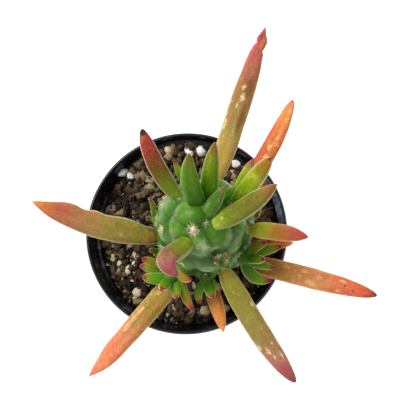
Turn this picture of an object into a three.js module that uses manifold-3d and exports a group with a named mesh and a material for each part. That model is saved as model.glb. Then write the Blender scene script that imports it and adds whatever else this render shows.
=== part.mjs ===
// A potted eves needle cactus: a round nursery pot, its soil, one fat tubercled stem,
// the leaves that stand on it and the small shoots that break from it.
// Millimetres, +Z up. The origin is the middle of the pot's flat underside, and the long
// upper leaf points to +Y.

import * as THREE from 'three';
import { mergeVertices } from 'three/addons/utils/BufferGeometryUtils.js';
import Module from 'manifold-3d';

const wasm = await Module();
wasm.setup();

const GAP = 0.3;

const POT = {
  height: 78,
  rimRadius: 45,
  wallTopRadius: 43.2,
  baseRadius: 32,
  wall: 1.2,
  floor: 1.6,
  lipDepth: 7,
  lipRound: 0.7,
  segments: 48,
  drainHoles: 8,
  drainWidth: 7,
  drainHeight: 5,
  drainReach: 8,
};

// The soil lies high at the back of the pot and low at its sides.
const SOIL = {
  middle: 66.5,
  slope: 0.1,
  backRise: 0.0025,
  sideFall: 0.0015,
  roughness: 0.7,
  rings: [14, 20, 25, 30, 34.5, 38],
  barkChips: 44,
  barkSize: [3.2, 6.5],
  smallGrains: 10,
  smallGrainSize: [2, 3.2],
  spread: [0.14, 1],
};

// The large pale grains of perlite and grit that show: x, y and size.
const PALE_GRAINS = [
  [-30.0, 28.0, 4.4],
  [-26.6, 26.5, 3.8],
  [0.9, 36.5, 4.6],
  [6.3, 37.0, 5.0],
  [22.0, 31.5, 4.2],
  [-27.5, -16.4, 4.2],
  [-8.7, 37.5, 4.0],
  [24.5, 27.0, 3.6],
  [20.6, 26.8, 4.0],
  [-35.0, -10.6, 3.6],
  [-31.0, -13.4, 3.4],
  [-22.5, -26.9, 4.4],
  [3.1, -23.5, 3.4],
  [2.5, -35.5, 3.4],
  [8.3, -34.8, 5.4],
  [17.0, -33.5, 4.4],
  [-35.0, 11.6, 4.6],
];

const STEM = {
  footX: 7.8,
  footY: -0.6,
  leanX: 0.075,
  leanY: -0.008,
  soilLine: 66.5,
  neckRadius: 15,
  girth: 18,
  shoulder: 30,
  height: 71,
  buried: 26,
  bareNeck: 3,
  segments: 40,
  buriedRings: 3,
  trunkRings: 10,
  domeRings: 12,
};

const TUBERCLE = {
  height: 3,
  halfWidth: 6.2,
  halfLength: 8.2,
  belowAreole: 3.6,
};

const AREOLE = {
  radius: 1.7,
  proud: 0.7,
  sunk: 0.3,
  aboveLeaf: 3.4,
  crownFrom: 64,
  bristles: 2,
  bristleLength: 3.6,
  bristleRadius: 0.32,
  bristleSpread: 0.5,
};

// Bare areoles sit at the places of the stem's own spiral that no leaf or shoot holds.
const SPIRAL = { turn: 137.5, firstRise: 62, step: 1.45, count: 38, spacing: 10 };

// Each leaf: the turn and rise of its areole on the stem (degrees, mm above the soil line), its
// tip, how far it swings to the left (bow) and hangs below the chord (sag), and its width.
// The swing is greatest at the peak, a share of the length that is a half unless it is given.
const LEAVES = [
  { name: 'leaf_west', turn: -168, rise: 37, tip: [-55.6, 7.1, 122], bow: 2.6, sag: 1.5, width: 9.8, peak: 0.42 },
  { name: 'leaf_north', turn: 77, rise: 39, tip: [35.5, 73.5, 130], bow: 0.3, sag: 1.5, width: 8.8 },
  { name: 'leaf_north_east', turn: 43, rise: 31, tip: [46.4, 49.7, 112], bow: -1.6, sag: 1.5, width: 7.4 },
  { name: 'leaf_east', turn: -43, rise: 27, tip: [79.3, -27.9, 104], bow: 0.3, sag: 1.5, width: 8.8 },
  { name: 'leaf_south_east', turn: -66, rise: 45, tip: [47, -61.4, 112], bow: -1.5, sag: 1, width: 8.9 },
  { name: 'leaf_south_west', turn: -118, rise: 27, tip: [-34.1, -60.6, 108], bow: 0.6, sag: 1.5, width: 8.8 },
  { name: 'leaf_south', turn: -88, rise: 20, tip: [18.1, -43.2, 92], bow: 0.4, sag: 0.5, width: 6.4 },
  { name: 'leaf_east_upper', turn: -6, rise: 47, tip: [50.9, -7.8, 134], bow: 0.6, sag: 1.2, width: 6.6 },
  { name: 'leaf_east_lower', turn: -14, rise: 26, tip: [46.6, -6.9, 100], bow: 0, sag: 1, width: 6 },
  { name: 'leaf_north_west', turn: 138, rise: 59, tip: [-10.4, 32.3, 136], bow: 1.7, sag: 1.5, width: 6.6 },
  { name: 'leaf_curled', turn: -134, rise: 66, tip: [4.3, -22.1, 142], bow: -5.4, sag: -2, width: 7.2 },
  { name: 'leaf_crown_north_west', turn: 112, rise: 69.4, tip: [10, 17.8, 160], bow: 1.6, sag: 0.5, width: 6.8 },
  { name: 'leaf_crown_north', turn: 78, rise: 68.2, tip: [18.5, 22.1, 158], bow: 0.4, sag: 1, width: 6.2 },
  { name: 'leaf_crown_middle', turn: 60, rise: 70.9, tip: [21.6, 7.7, 152], bow: 0, sag: 0.5, width: 5.2 },
  { name: 'leaf_crown_small', turn: 45, rise: 67, tip: [24.6, 8.6, 147], bow: 0, sag: 0.5, width: 3.8 },
  { name: 'leaf_crown_north_east', turn: 22, rise: 62, tip: [37.4, 16.9, 156], bow: 0.3, sag: 1.2, width: 6.6 },
  { name: 'leaf_crown_east', turn: -44, rise: 69.8, tip: [39.3, 7.3, 160], bow: -0.8, sag: 1, width: 7.2 },
  { name: 'leaf_small_north_east', turn: 42, rise: 50, tip: [31, 22.6, 127], bow: 0, sag: 0.5, width: 4.6 },
  { name: 'leaf_small_east', turn: 14, rise: 52, tip: [35.9, 13, 131], bow: 0, sag: 0.5, width: 4.6 },
  { name: 'leaf_small_north', turn: 116, rise: 50, tip: [0.5, 22.9, 126], bow: 0.3, sag: 0.3, width: 2.8 },
];

const LEAF = {
  rootDepth: 2.2,
  neck: 0.5,
  fullAt: 0.3,
  taperFrom: 0.45,
  taperPower: 2.4,
  taperEase: 0.8,
  depth: 0.78,
  flatTop: 0.8,
  sides: 8,
  stations: 10,
  crowding: 1.25,
};

const LEAFLET = { ...LEAF, neck: 0.6, rootDepth: 0, sides: 6, stations: 4 };

// Each shoot: its areole, how far its bud stands off the stem, the bud's radius, and its
// leaflets as tip x, y, z, width and bow.
const SHOOTS = [
  {
    name: 'shoot_south_west',
    turn: -124,
    rise: 36,
    reach: 5,
    bud: 3,
    leaflets: [
      [-14.6, -13.6, 105, 3.6, 0.8],
      [-16.2, -16.4, 101, 4, 0.8],
      [-14.4, -21.2, 104, 4.4, 0.4],
      [-5.6, -26.4, 111, 4, 0],
      [0, -29.8, 106, 4, -0.4],
      [6, -34.2, 101, 3.8, -1],
      [6.6, -22.6, 111, 4, -2.4],
    ],
  },
  {
    name: 'shoot_south_east',
    turn: -38,
    rise: 39,
    reach: 0.8,
    bud: 2.8,
    leaflets: [
      [36, -7.6, 113, 4, 1],
      [42, -8.8, 108, 4.4, 0.6],
      [30.7, -8.4, 110, 2.4, 0],
      [35.2, -14.6, 114, 3.8, 0],
      [39, -17.4, 106, 3.6, -0.4],
      [38, -22, 100, 5, -3.4],
    ],
  },
  {
    name: 'shoot_south',
    turn: -88,
    rise: 30,
    reach: 0.8,
    bud: 2.6,
    leaflets: [
      [8.4, -31.6, 96, 3.6, -1.6],
      [14.2, -29.2, 100, 4.6, 0],
      [17.4, -26.4, 99, 2.8, 0.6],
    ],
  },
  {
    name: 'shoot_west',
    turn: 172,
    rise: 38,
    reach: 0.6,
    bud: 1.6,
    leaflets: [
      [-10.4, 9.2, 113, 2.6, -0.6],
      [-12.6, 2.4, 108, 1.8, 0],
    ],
  },
  {
    name: 'bud_south_west',
    turn: -152,
    rise: 34,
    reach: 0.4,
    bud: 1.5,
    leaflets: [
      [-11, -10.4, 107, 2.2, 0],
      [-9.4, -12.4, 105, 2, 0],
    ],
  },
  {
    name: 'bud_south',
    turn: -66,
    rise: 54,
    reach: 0.2,
    bud: 1.6,
    leaflets: [
      [16.8, -16.2, 127, 2, 0],
      [20.8, -15.2, 127, 2, 0],
      [20.6, -12.6, 128, 1.8, 0],
    ],
  },
  {
    name: 'bud_east',
    turn: 10,
    rise: 46,
    reach: 0.4,
    bud: 1.5,
    leaflets: [
      [33.4, 4.6, 118, 2, 0],
      [32.6, 2.4, 118, 1.8, 0],
    ],
  },
];

const COLOURS = {
  pot: 0x141619,
  soil: 0x3b3029,
  stem: 0x5d9a5c,
  greenLeaf: 0x6f9a33,
  oliveLeaf: 0x9a9040,
  orangeLeaf: 0xcf7a48,
  shoot: 0x6fae35,
};

const LEAF_COLOURS = {
  leaf_north_east: COLOURS.orangeLeaf,
  leaf_east: COLOURS.orangeLeaf,
  leaf_south_west: COLOURS.orangeLeaf,
  leaf_south: COLOURS.orangeLeaf,
  leaf_east_lower: COLOURS.orangeLeaf,
  leaf_west: COLOURS.oliveLeaf,
  leaf_north: COLOURS.oliveLeaf,
  leaf_south_east: COLOURS.oliveLeaf,
};

const UP = new THREE.Vector3(0, 0, 1);

// A small seeded generator, so that every run places the same grains.
function randomFrom(seed) {
  let state = seed;
  return () => {
    state = (state + 0x6d2b79f5) | 0;
    let mixed = Math.imul(state ^ (state >>> 15), 1 | state);
    mixed = (mixed + Math.imul(mixed ^ (mixed >>> 7), 61 | mixed)) ^ mixed;
    return ((mixed ^ (mixed >>> 14)) >>> 0) / 4294967296;
  };
}

const between = (random, [low, high]) => low + (high - low) * random();

// Six times the volume of an indexed geometry, negative where its faces point inwards.
function signedVolume(positions, index) {
  const a = new THREE.Vector3();
  const b = new THREE.Vector3();
  const c = new THREE.Vector3();
  let sum = 0;
  for (let i = 0; i < index.length; i += 3) {
    a.fromArray(positions, index[i] * 3);
    b.fromArray(positions, index[i + 1] * 3);
    c.fromArray(positions, index[i + 2] * 3);
    sum += a.dot(b.cross(c));
  }
  return sum;
}

// A closed geometry as a solid for joining and cutting, with its faces turned outwards.
function solid(geometry) {
  const bare = geometry.clone();
  bare.deleteAttribute('normal');
  bare.deleteAttribute('uv');
  const merged = mergeVertices(bare, 1e-4);
  const positions = Float32Array.from(merged.attributes.position.array);
  const source = merged.index.array;
  const index = [];
  for (let i = 0; i < source.length; i += 3) {
    const [a, b, c] = [source[i], source[i + 1], source[i + 2]];
    if (a !== b && b !== c && c !== a) index.push(a, b, c);
  }
  if (signedVolume(positions, index) < 0) index.reverse();
  const mesh = new wasm.Mesh({
    numProp: 3,
    vertProperties: positions,
    triVerts: Uint32Array.from(index),
  });
  return new wasm.Manifold(mesh);
}

// The largest body of a solid: what a cut leaves loose is dropped.
function largestBody(body) {
  const bodies = body.decompose();
  return bodies.reduce((best, next) => (next.volume() > best.volume() ? next : best));
}

function toGeometry(body) {
  const mesh = body.getMesh();
  const geometry = new THREE.BufferGeometry();
  geometry.setAttribute('position', new THREE.BufferAttribute(mesh.vertProperties, 3));
  geometry.setIndex(new THREE.BufferAttribute(mesh.triVerts, 1));
  geometry.computeVertexNormals();
  return geometry;
}

// A closed skin over rings of points, with a pole at each end.
function skin(rings, startPole, endPole) {
  const points = [startPole, ...rings.flat(), endPole];
  const sides = rings[0].length;
  const last = points.length - 1;
  const at = (ring, side) => 1 + ring * sides + (side % sides);
  const index = [];
  for (let side = 0; side < sides; side += 1) {
    index.push(0, at(0, side + 1), at(0, side));
    index.push(last, at(rings.length - 1, side), at(rings.length - 1, side + 1));
    for (let ring = 0; ring < rings.length - 1; ring += 1) {
      index.push(at(ring, side), at(ring, side + 1), at(ring + 1, side + 1));
      index.push(at(ring, side), at(ring + 1, side + 1), at(ring + 1, side));
    }
  }
  const geometry = new THREE.BufferGeometry().setFromPoints(points);
  geometry.setIndex(index);
  return geometry;
}

// The pot: a thin flared wall with a rolled lip, and drain slots round its foot.
const wallSlope = (POT.wallTopRadius - POT.baseRadius) / (POT.height - POT.lipDepth);
const outerWall = (z) => POT.baseRadius + wallSlope * z;
const innerWall = (z) => outerWall(z) - POT.wall;

function potSolid() {
  const lipBottom = POT.height - POT.lipDepth;
  const round = POT.lipRound;
  const profile = [
    [0, 0],
    [POT.baseRadius - round, 0],
    [outerWall(round), round],
    [outerWall(lipBottom), lipBottom],
    [POT.rimRadius - round / 2, lipBottom + round],
    [POT.rimRadius, POT.height - 2 * round],
    [POT.rimRadius - round, POT.height - round / 3],
    [POT.rimRadius - 2 * round, POT.height],
    [innerWall(POT.height) + round / 3, POT.height - round / 2],
    [innerWall(POT.height - 2 * round), POT.height - 2 * round],
    [innerWall(POT.floor), POT.floor],
    [0, POT.floor],
  ].map(([radius, z]) => new THREE.Vector2(radius, z));
  let body = solid(new THREE.LatheGeometry(profile, POT.segments).rotateX(Math.PI / 2));
  for (let hole = 0; hole < POT.drainHoles; hole += 1) {
    const slot = new THREE.BoxGeometry(POT.drainReach, POT.drainWidth, 2 * POT.drainHeight);
    slot.translate(POT.baseRadius, 0, 0);
    slot.rotateZ(((hole + 0.5) * 2 * Math.PI) / POT.drainHoles);
    body = body.subtract(solid(slot));
  }
  return body;
}

// The stem leans a little, so its axis shifts with height.
const stemAxis = (rise) => new THREE.Vector3(
  STEM.footX + STEM.leanX * rise,
  STEM.footY + STEM.leanY * rise,
  STEM.soilLine + rise,
);

function stemRadius(rise) {
  const dome = (rise - STEM.shoulder) / (STEM.height - STEM.shoulder);
  if (rise < 0) return STEM.neckRadius * Math.sqrt(Math.max(0, 1 - (rise / STEM.buried) ** 2));
  if (dome < 0) {
    const swell = Math.sin((rise / STEM.shoulder) * Math.PI / 2);
    return STEM.neckRadius + (STEM.girth - STEM.neckRadius) * swell;
  }
  return STEM.girth * Math.sqrt(Math.max(0, 1 - dome ** 2));
}

// A point on the smooth stem under the tubercles, and the way that its surface faces.
function smoothStem(turn, rise) {
  const step = 0.05;
  const angle = THREE.MathUtils.degToRad(turn);
  const out = new THREE.Vector3(Math.cos(angle), Math.sin(angle), 0);
  const place = (height) => stemAxis(height).addScaledVector(out, stemRadius(height));
  const along = place(Math.min(rise + step, STEM.height)).sub(place(rise - step)).normalize();
  const across = new THREE.Vector3().crossVectors(UP, out);
  const normal = new THREE.Vector3().crossVectors(across, along).normalize();
  return { point: place(rise), along, normal };
}

function bareAreoles(held) {
  const areoles = [];
  for (let k = 0; k < SPIRAL.count; k += 1) {
    const areole = { turn: SPIRAL.turn * k, rise: SPIRAL.firstRise - SPIRAL.step * k };
    const { point } = smoothStem(areole.turn, areole.rise);
    const near = [...held, ...areoles].some((other) => (
      smoothStem(other.turn, other.rise).point.distanceTo(point) < SPIRAL.spacing
    ));
    if (!near) areoles.push(areole);
  }
  return areoles;
}

const heldAreoles = [...LEAVES, ...SHOOTS];
const emptyAreoles = bareAreoles(heldAreoles);
const tubercles = [...heldAreoles, ...emptyAreoles].map(({ turn, rise }) => (
  smoothStem(turn, rise - TUBERCLE.belowAreole)
));

// How far the tubercles raise the surface at a point of the smooth stem.
function tubercleRise(point) {
  let rise = 0;
  for (const tubercle of tubercles) {
    const offset = point.clone().sub(tubercle.point);
    const along = offset.dot(tubercle.along);
    const across = offset.addScaledVector(tubercle.along, -along).length();
    const reach = (along / TUBERCLE.halfLength) ** 2 + (across / TUBERCLE.halfWidth) ** 2;
    rise = Math.max(rise, TUBERCLE.height * (1 - reach));
  }
  return rise;
}

// A point of the finished stem, moved out by a small amount where a clearance is wanted.
function stemPoint(turn, rise, grow = 0) {
  const { point, normal } = smoothStem(turn, rise);
  const fade = THREE.MathUtils.clamp(rise / STEM.bareNeck, 0, 1);
  return point.addScaledVector(normal, tubercleRise(point) * fade + grow);
}

function stemSkin(grow) {
  const rises = [];
  for (let i = STEM.buriedRings; i > 0; i -= 1) {
    rises.push(-STEM.buried * Math.sin((i / (STEM.buriedRings + 1)) * Math.PI / 2));
  }
  for (let i = 0; i < STEM.trunkRings; i += 1) {
    rises.push((STEM.shoulder * i) / STEM.trunkRings);
  }
  for (let i = 0; i < STEM.domeRings; i += 1) {
    const angle = (i / STEM.domeRings) * Math.PI / 2;
    rises.push(STEM.shoulder + (STEM.height - STEM.shoulder) * Math.sin(angle));
  }
  const rings = rises.map((rise) => (
    Array.from({ length: STEM.segments }, (_, i) => stemPoint((360 * i) / STEM.segments, rise, grow))
  ));
  const foot = stemAxis(-STEM.buried).addScaledVector(UP, -grow);
  const apex = stemAxis(STEM.height).addScaledVector(UP, grow + TUBERCLE.height / 2);
  return solid(skin(rings, foot, apex));
}

// A leaf or leaflet: a tapering blade of oval section along a bowed line.
function blade(root, tip, spec, form, grow = 0) {
  const chord = tip.clone().sub(root);
  const side = new THREE.Vector3().crossVectors(UP, chord).normalize();
  const up = new THREE.Vector3().crossVectors(chord, side).normalize();
  const centre = (t) => {
    const skewed = Math.max(0, t) ** (Math.log(0.5) / Math.log(spec.peak ?? 0.5));
    const swing = 4 * skewed * (1 - skewed);
    const point = root.clone().lerp(tip, t).addScaledVector(side, spec.bow * swing);
    return point.addScaledVector(up, -spec.sag * swing);
  };
  const girth = (t) => {
    const swell = Math.sin(Math.min(1, t / form.fullAt) * Math.PI / 2);
    const taper = Math.max(0, (t - form.taperFrom) / (1 - form.taperFrom));
    const point = (1 - taper ** form.taperPower) ** form.taperEase;
    return (form.neck + (1 - form.neck) * swell) * point;
  };
  const rings = [];
  const step = 0.01;
  for (let i = 0; i < form.stations; i += 1) {
    const t = 1 - (1 - i / form.stations) ** form.crowding;
    const along = centre(t + step).sub(centre(t - step)).normalize();
    const across = side.clone().addScaledVector(along, -side.dot(along)).normalize();
    const above = new THREE.Vector3().crossVectors(along, across);
    const halfWidth = (girth(t) * spec.width) / 2 + grow;
    const halfDepth = (girth(t) * spec.width * form.depth) / 2 + grow;
    rings.push(Array.from({ length: form.sides }, (_, k) => {
      const angle = (2 * Math.PI * k) / form.sides;
      const lift = Math.sin(angle) * (Math.sin(angle) > 0 ? form.flatTop : 1);
      const point = centre(t).addScaledVector(across, -halfWidth * Math.cos(angle));
      return point.addScaledVector(above, halfDepth * lift);
    }));
  }
  return solid(skin(rings, centre(-grow / chord.length()), centre(1 + grow / chord.length())));
}

function leafSolid(leaf, grow = 0) {
  const root = stemPoint(leaf.turn, leaf.rise, -LEAF.rootDepth);
  return blade(root, new THREE.Vector3(...leaf.tip), leaf, LEAF, grow);
}

// A shoot: a short bud on the stem with its leaflets fused to it.
function shootSolid(shoot) {
  const { normal } = smoothStem(shoot.turn, shoot.rise);
  const root = stemPoint(shoot.turn, shoot.rise);
  const middle = root.clone().addScaledVector(normal, shoot.reach);
  const stub = new THREE.CylinderGeometry(shoot.bud, shoot.bud, shoot.reach + shoot.bud, 6, 1);
  stub.translate(0, -(shoot.reach + shoot.bud) / 2, 0);
  stub.applyQuaternion(new THREE.Quaternion().setFromUnitVectors(new THREE.Vector3(0, 1, 0), normal));
  stub.translate(...middle.toArray());
  const head = new THREE.SphereGeometry(shoot.bud, 6, 4).translate(...middle.toArray());
  let body = solid(stub).add(solid(head));
  for (const [x, y, z, width, bow] of shoot.leaflets) {
    body = body.add(blade(middle, new THREE.Vector3(x, y, z), { width, bow, sag: 0.8 }, LEAFLET));
  }
  return body;
}

// An areole: a low cushion of wool with a few short bristles.
function areoleSolids({ turn, rise }, random) {
  const { normal, along } = smoothStem(turn, rise);
  const seat = stemPoint(turn, rise, -AREOLE.sunk);
  const cushion = new THREE.SphereGeometry(AREOLE.radius, 6, 4);
  cushion.scale(1, AREOLE.proud, 1);
  const stand = new THREE.Quaternion().setFromUnitVectors(new THREE.Vector3(0, 1, 0), normal);
  cushion.applyQuaternion(stand).translate(...seat.toArray());
  const bristles = Array.from({ length: AREOLE.bristles }, () => {
    const spread = new THREE.Vector3(random() - 0.5, random() - 0.5, random() - 0.5);
    const aim = normal.clone().addScaledVector(along, AREOLE.bristleSpread);
    aim.addScaledVector(spread, 2 * AREOLE.bristleSpread).normalize();
    const bristle = new THREE.ConeGeometry(AREOLE.bristleRadius, AREOLE.bristleLength, 3, 1);
    bristle.translate(0, AREOLE.bristleLength / 2, 0);
    const turnTo = new THREE.Quaternion().setFromUnitVectors(new THREE.Vector3(0, 1, 0), aim);
    return solid(bristle.applyQuaternion(turnTo).translate(...seat.toArray()));
  });
  return { cushion: solid(cushion), bristles };
}

// Wool sits just above each leaf's root, and right at a bare areole. The crown has none yet.
const woolPlaces = [
  ...LEAVES.filter(({ rise }) => rise < AREOLE.crownFrom).map(({ turn, rise }) => (
    { turn, rise: rise + AREOLE.aboveLeaf }
  )),
  ...emptyAreoles,
];

const stemBody = stemSkin(0);
const keepClear = stemSkin(GAP);
const grownLeaves = wasm.Manifold.union(LEAVES.map((leaf) => leafSolid(leaf, GAP)));

function stemSolid() {
  const random = randomFrom(11);
  let body = stemBody;
  for (const place of woolPlaces) {
    const { cushion, bristles } = areoleSolids(place, random);
    body = body.add(cushion.subtract(grownLeaves));
    for (const bristle of bristles) {
      if (bristle.intersect(grownLeaves).isEmpty()) body = body.add(bristle);
    }
  }
  return largestBody(body);
}

// The soil: a rough top, chunks of bark and pale grains, and the hole that the stem stands in.
const soilLevel = (x, y) => (
  SOIL.middle + SOIL.slope * y + SOIL.backRise * y * y - SOIL.sideFall * x * x
);

function grain(Shape, x, y, size, random) {
  const stone = new Shape(size / 2, 0);
  stone.scale(between(random, [0.8, 1.3]), between(random, [0.7, 1]), between(random, [0.55, 0.85]));
  stone.rotateX(random() - 0.5);
  stone.rotateZ(2 * Math.PI * random());
  stone.translate(x, y, soilLevel(x, y) + size * 0.15);
  return solid(stone);
}

// The space inside the pot, short of its wall and floor.
function potCavity(bottom) {
  const profile = [
    [0, bottom],
    [innerWall(bottom) - GAP, bottom],
    [innerWall(POT.height) - GAP, POT.height],
    [0, POT.height],
  ].map(([radius, z]) => new THREE.Vector2(radius, z));
  return solid(new THREE.LatheGeometry(profile, POT.segments).rotateX(Math.PI / 2));
}

function soilSolid() {
  const random = randomFrom(7);
  const bottom = POT.floor + GAP;
  const angles = Array.from({ length: POT.segments }, (_, i) => (2 * Math.PI * i) / POT.segments);
  const flat = (radius, z) => angles.map((angle) => (
    new THREE.Vector3(radius * Math.cos(angle), radius * Math.sin(angle), z)
  ));
  const rough = (radius) => flat(radius, 0).map((point) => (
    point.setZ(soilLevel(point.x, point.y) + SOIL.roughness * (2 * random() - 1))
  ));
  const edge = flat(1, 0).map((ray) => {
    const reach = innerWall(SOIL.middle) - GAP;
    const z = soilLevel(ray.x * reach, ray.y * reach);
    const radius = innerWall(z) - GAP;
    return new THREE.Vector3(ray.x * radius, ray.y * radius, z);
  });
  const rings = [
    flat(innerWall(bottom) - GAP, bottom),
    edge,
    ...[...SOIL.rings].reverse().map(rough),
  ];
  const middle = new THREE.Vector3(0, 0, SOIL.middle);
  let body = solid(skin(rings, new THREE.Vector3(0, 0, bottom), middle));
  const grains = PALE_GRAINS.map(([x, y, size]) => (
    grain(THREE.IcosahedronGeometry, x, y, size, random)
  ));
  const scatter = (count, sizes) => {
    for (let i = 0; i < count; i += 1) {
      const size = between(random, sizes);
      const room = innerWall(SOIL.middle) - size;
      const radius = room * Math.sqrt(between(random, SOIL.spread));
      const angle = 2 * Math.PI * random();
      const [x, y] = [radius * Math.cos(angle), radius * Math.sin(angle)];
      grains.push(grain(THREE.OctahedronGeometry, x, y, size, random));
    }
  };
  scatter(SOIL.barkChips, SOIL.barkSize);
  scatter(SOIL.smallGrains, SOIL.smallGrainSize);
  body = wasm.Manifold.union([body, ...grains]).intersect(potCavity(bottom));
  return largestBody(body.subtract(keepClear));
}

const group = new THREE.Group();

function addPart(name, body, colour, roughness) {
  const material = new THREE.MeshStandardMaterial({ color: colour, roughness, metalness: 0 });
  const mesh = new THREE.Mesh(toGeometry(body), material);
  mesh.name = name;
  group.add(mesh);
}

addPart('pot', potSolid(), COLOURS.pot, 0.3);
addPart('soil', soilSolid(), COLOURS.soil, 0.95);
addPart('stem', stemSolid(), COLOURS.stem, 0.45);
for (const leaf of LEAVES) {
  const body = largestBody(leafSolid(leaf).subtract(keepClear));
  addPart(leaf.name, body, LEAF_COLOURS[leaf.name] ?? COLOURS.greenLeaf, 0.45);
}
for (const shoot of SHOOTS) {
  const body = largestBody(shootSolid(shoot).subtract(keepClear).subtract(grownLeaves));
  addPart(shoot.name, body, COLOURS.shoot, 0.45);
}

export default group;
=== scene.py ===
"""A potted eves needle cactus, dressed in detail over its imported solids.

The forms repeat the formulas of the part's source. Sizes are in millimetres until a mesh is
made, and each mesh is in metres.
"""

import logging
import math
import random
from collections.abc import Iterable, Iterator, Mapping, Sequence
from dataclasses import dataclass, field
from enum import Enum

import bmesh
import bpy
import numpy as np
from mathutils import Matrix, Vector, noise


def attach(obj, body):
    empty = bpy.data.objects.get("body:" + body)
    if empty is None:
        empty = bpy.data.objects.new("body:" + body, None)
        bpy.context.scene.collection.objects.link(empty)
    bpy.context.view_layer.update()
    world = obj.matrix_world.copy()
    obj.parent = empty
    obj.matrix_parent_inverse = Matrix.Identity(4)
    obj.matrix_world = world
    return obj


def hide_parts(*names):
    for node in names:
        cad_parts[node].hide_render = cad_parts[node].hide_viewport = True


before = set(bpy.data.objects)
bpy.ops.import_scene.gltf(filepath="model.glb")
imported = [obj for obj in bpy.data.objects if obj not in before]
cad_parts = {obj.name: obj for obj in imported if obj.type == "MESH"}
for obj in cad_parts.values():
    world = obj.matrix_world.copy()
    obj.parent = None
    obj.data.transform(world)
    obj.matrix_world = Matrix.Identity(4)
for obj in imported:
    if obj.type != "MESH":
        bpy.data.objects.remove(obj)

Colour = tuple[float, float, float, float]
Place = tuple[float, float, float]
Stops = tuple[tuple[float, str], ...]

MM = 0.001
UP = np.array([0.0, 0.0, 1.0])
BODY = "root"
HALF_TURN = 3.14
WHITE = (1.0, 1.0, 1.0, 1.0)

log = logging.getLogger("cactus")


def paint(code: str) -> Colour:
    """The linear colour of an sRGB hex code.

    Args:
        code: The code, such as "#958a40".

    Returns:
        Red, green, blue and an alpha of 1.
    """
    channels = [int(code[i : i + 2], 16) / 255 for i in (1, 3, 5)]
    linear = [c / 12.92 if c <= 0.04045 else ((c + 0.055) / 1.055) ** 2.4 for c in channels]
    return (linear[0], linear[1], linear[2], 1.0)


def unit(vectors: np.ndarray) -> np.ndarray:
    """The same directions at length 1."""
    return vectors / np.linalg.norm(vectors, axis=-1, keepdims=True)


def fade(text: str) -> Stops:
    """Colour stops from words such as "36#958a40": hundredths of the way, then the colour."""
    return tuple((int(word[:-7]) / 100, word[-7:]) for word in text.split())


def add_object(name: str, data: bpy.types.ID) -> bpy.types.Object:
    """Puts a mesh, camera or lamp into the scene.

    Args:
        name: The new object's name.
        data: What it holds.

    Returns:
        The object, at the origin.
    """
    made = bpy.data.objects.new(name, data)
    bpy.context.scene.collection.objects.link(made)
    return made


def plain_mesh(piece: bpy.types.Object, modifier: bpy.types.Modifier) -> bpy.types.Mesh:
    """What a piece's only modifier makes of it.

    Args:
        piece: The piece.
        modifier: The modifier, which is taken off again.

    Returns:
        The mesh.
    """
    evaluated = piece.evaluated_get(bpy.context.evaluated_depsgraph_get())
    mesh = bpy.data.meshes.new_from_object(evaluated)
    piece.modifiers.remove(modifier)
    return mesh


class Signal:
    """A node's output that Python arithmetic can be done with."""

    def __init__(self, graph: "Graph", socket: bpy.types.NodeSocket) -> None:
        """Keeps the socket and the graph that its Math nodes go to."""
        self.graph = graph
        self.socket = socket

    def __add__(self, other: "Signal | float") -> "Signal":
        """Adds Math nodes for self + other."""
        return self.graph.math("ADD", self, other)

    def __radd__(self, other: "Signal | float") -> "Signal":
        """Adds Math nodes for other + self."""
        return self.graph.math("ADD", other, self)

    def __sub__(self, other: "Signal | float") -> "Signal":
        """Adds Math nodes for self - other."""
        return self.graph.math("SUBTRACT", self, other)

    def __rsub__(self, other: "Signal | float") -> "Signal":
        """Adds Math nodes for other - self."""
        return self.graph.math("SUBTRACT", other, self)

    def __mul__(self, other: "Signal | float") -> "Signal":
        """Adds Math nodes for self * other."""
        return self.graph.math("MULTIPLY", self, other)

    def __rmul__(self, other: "Signal | float") -> "Signal":
        """Adds Math nodes for other * self."""
        return self.graph.math("MULTIPLY", other, self)

    def __abs__(self) -> "Signal":
        """Adds a Math node for abs(self)."""
        return self.graph.math("ABSOLUTE", self)


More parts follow.
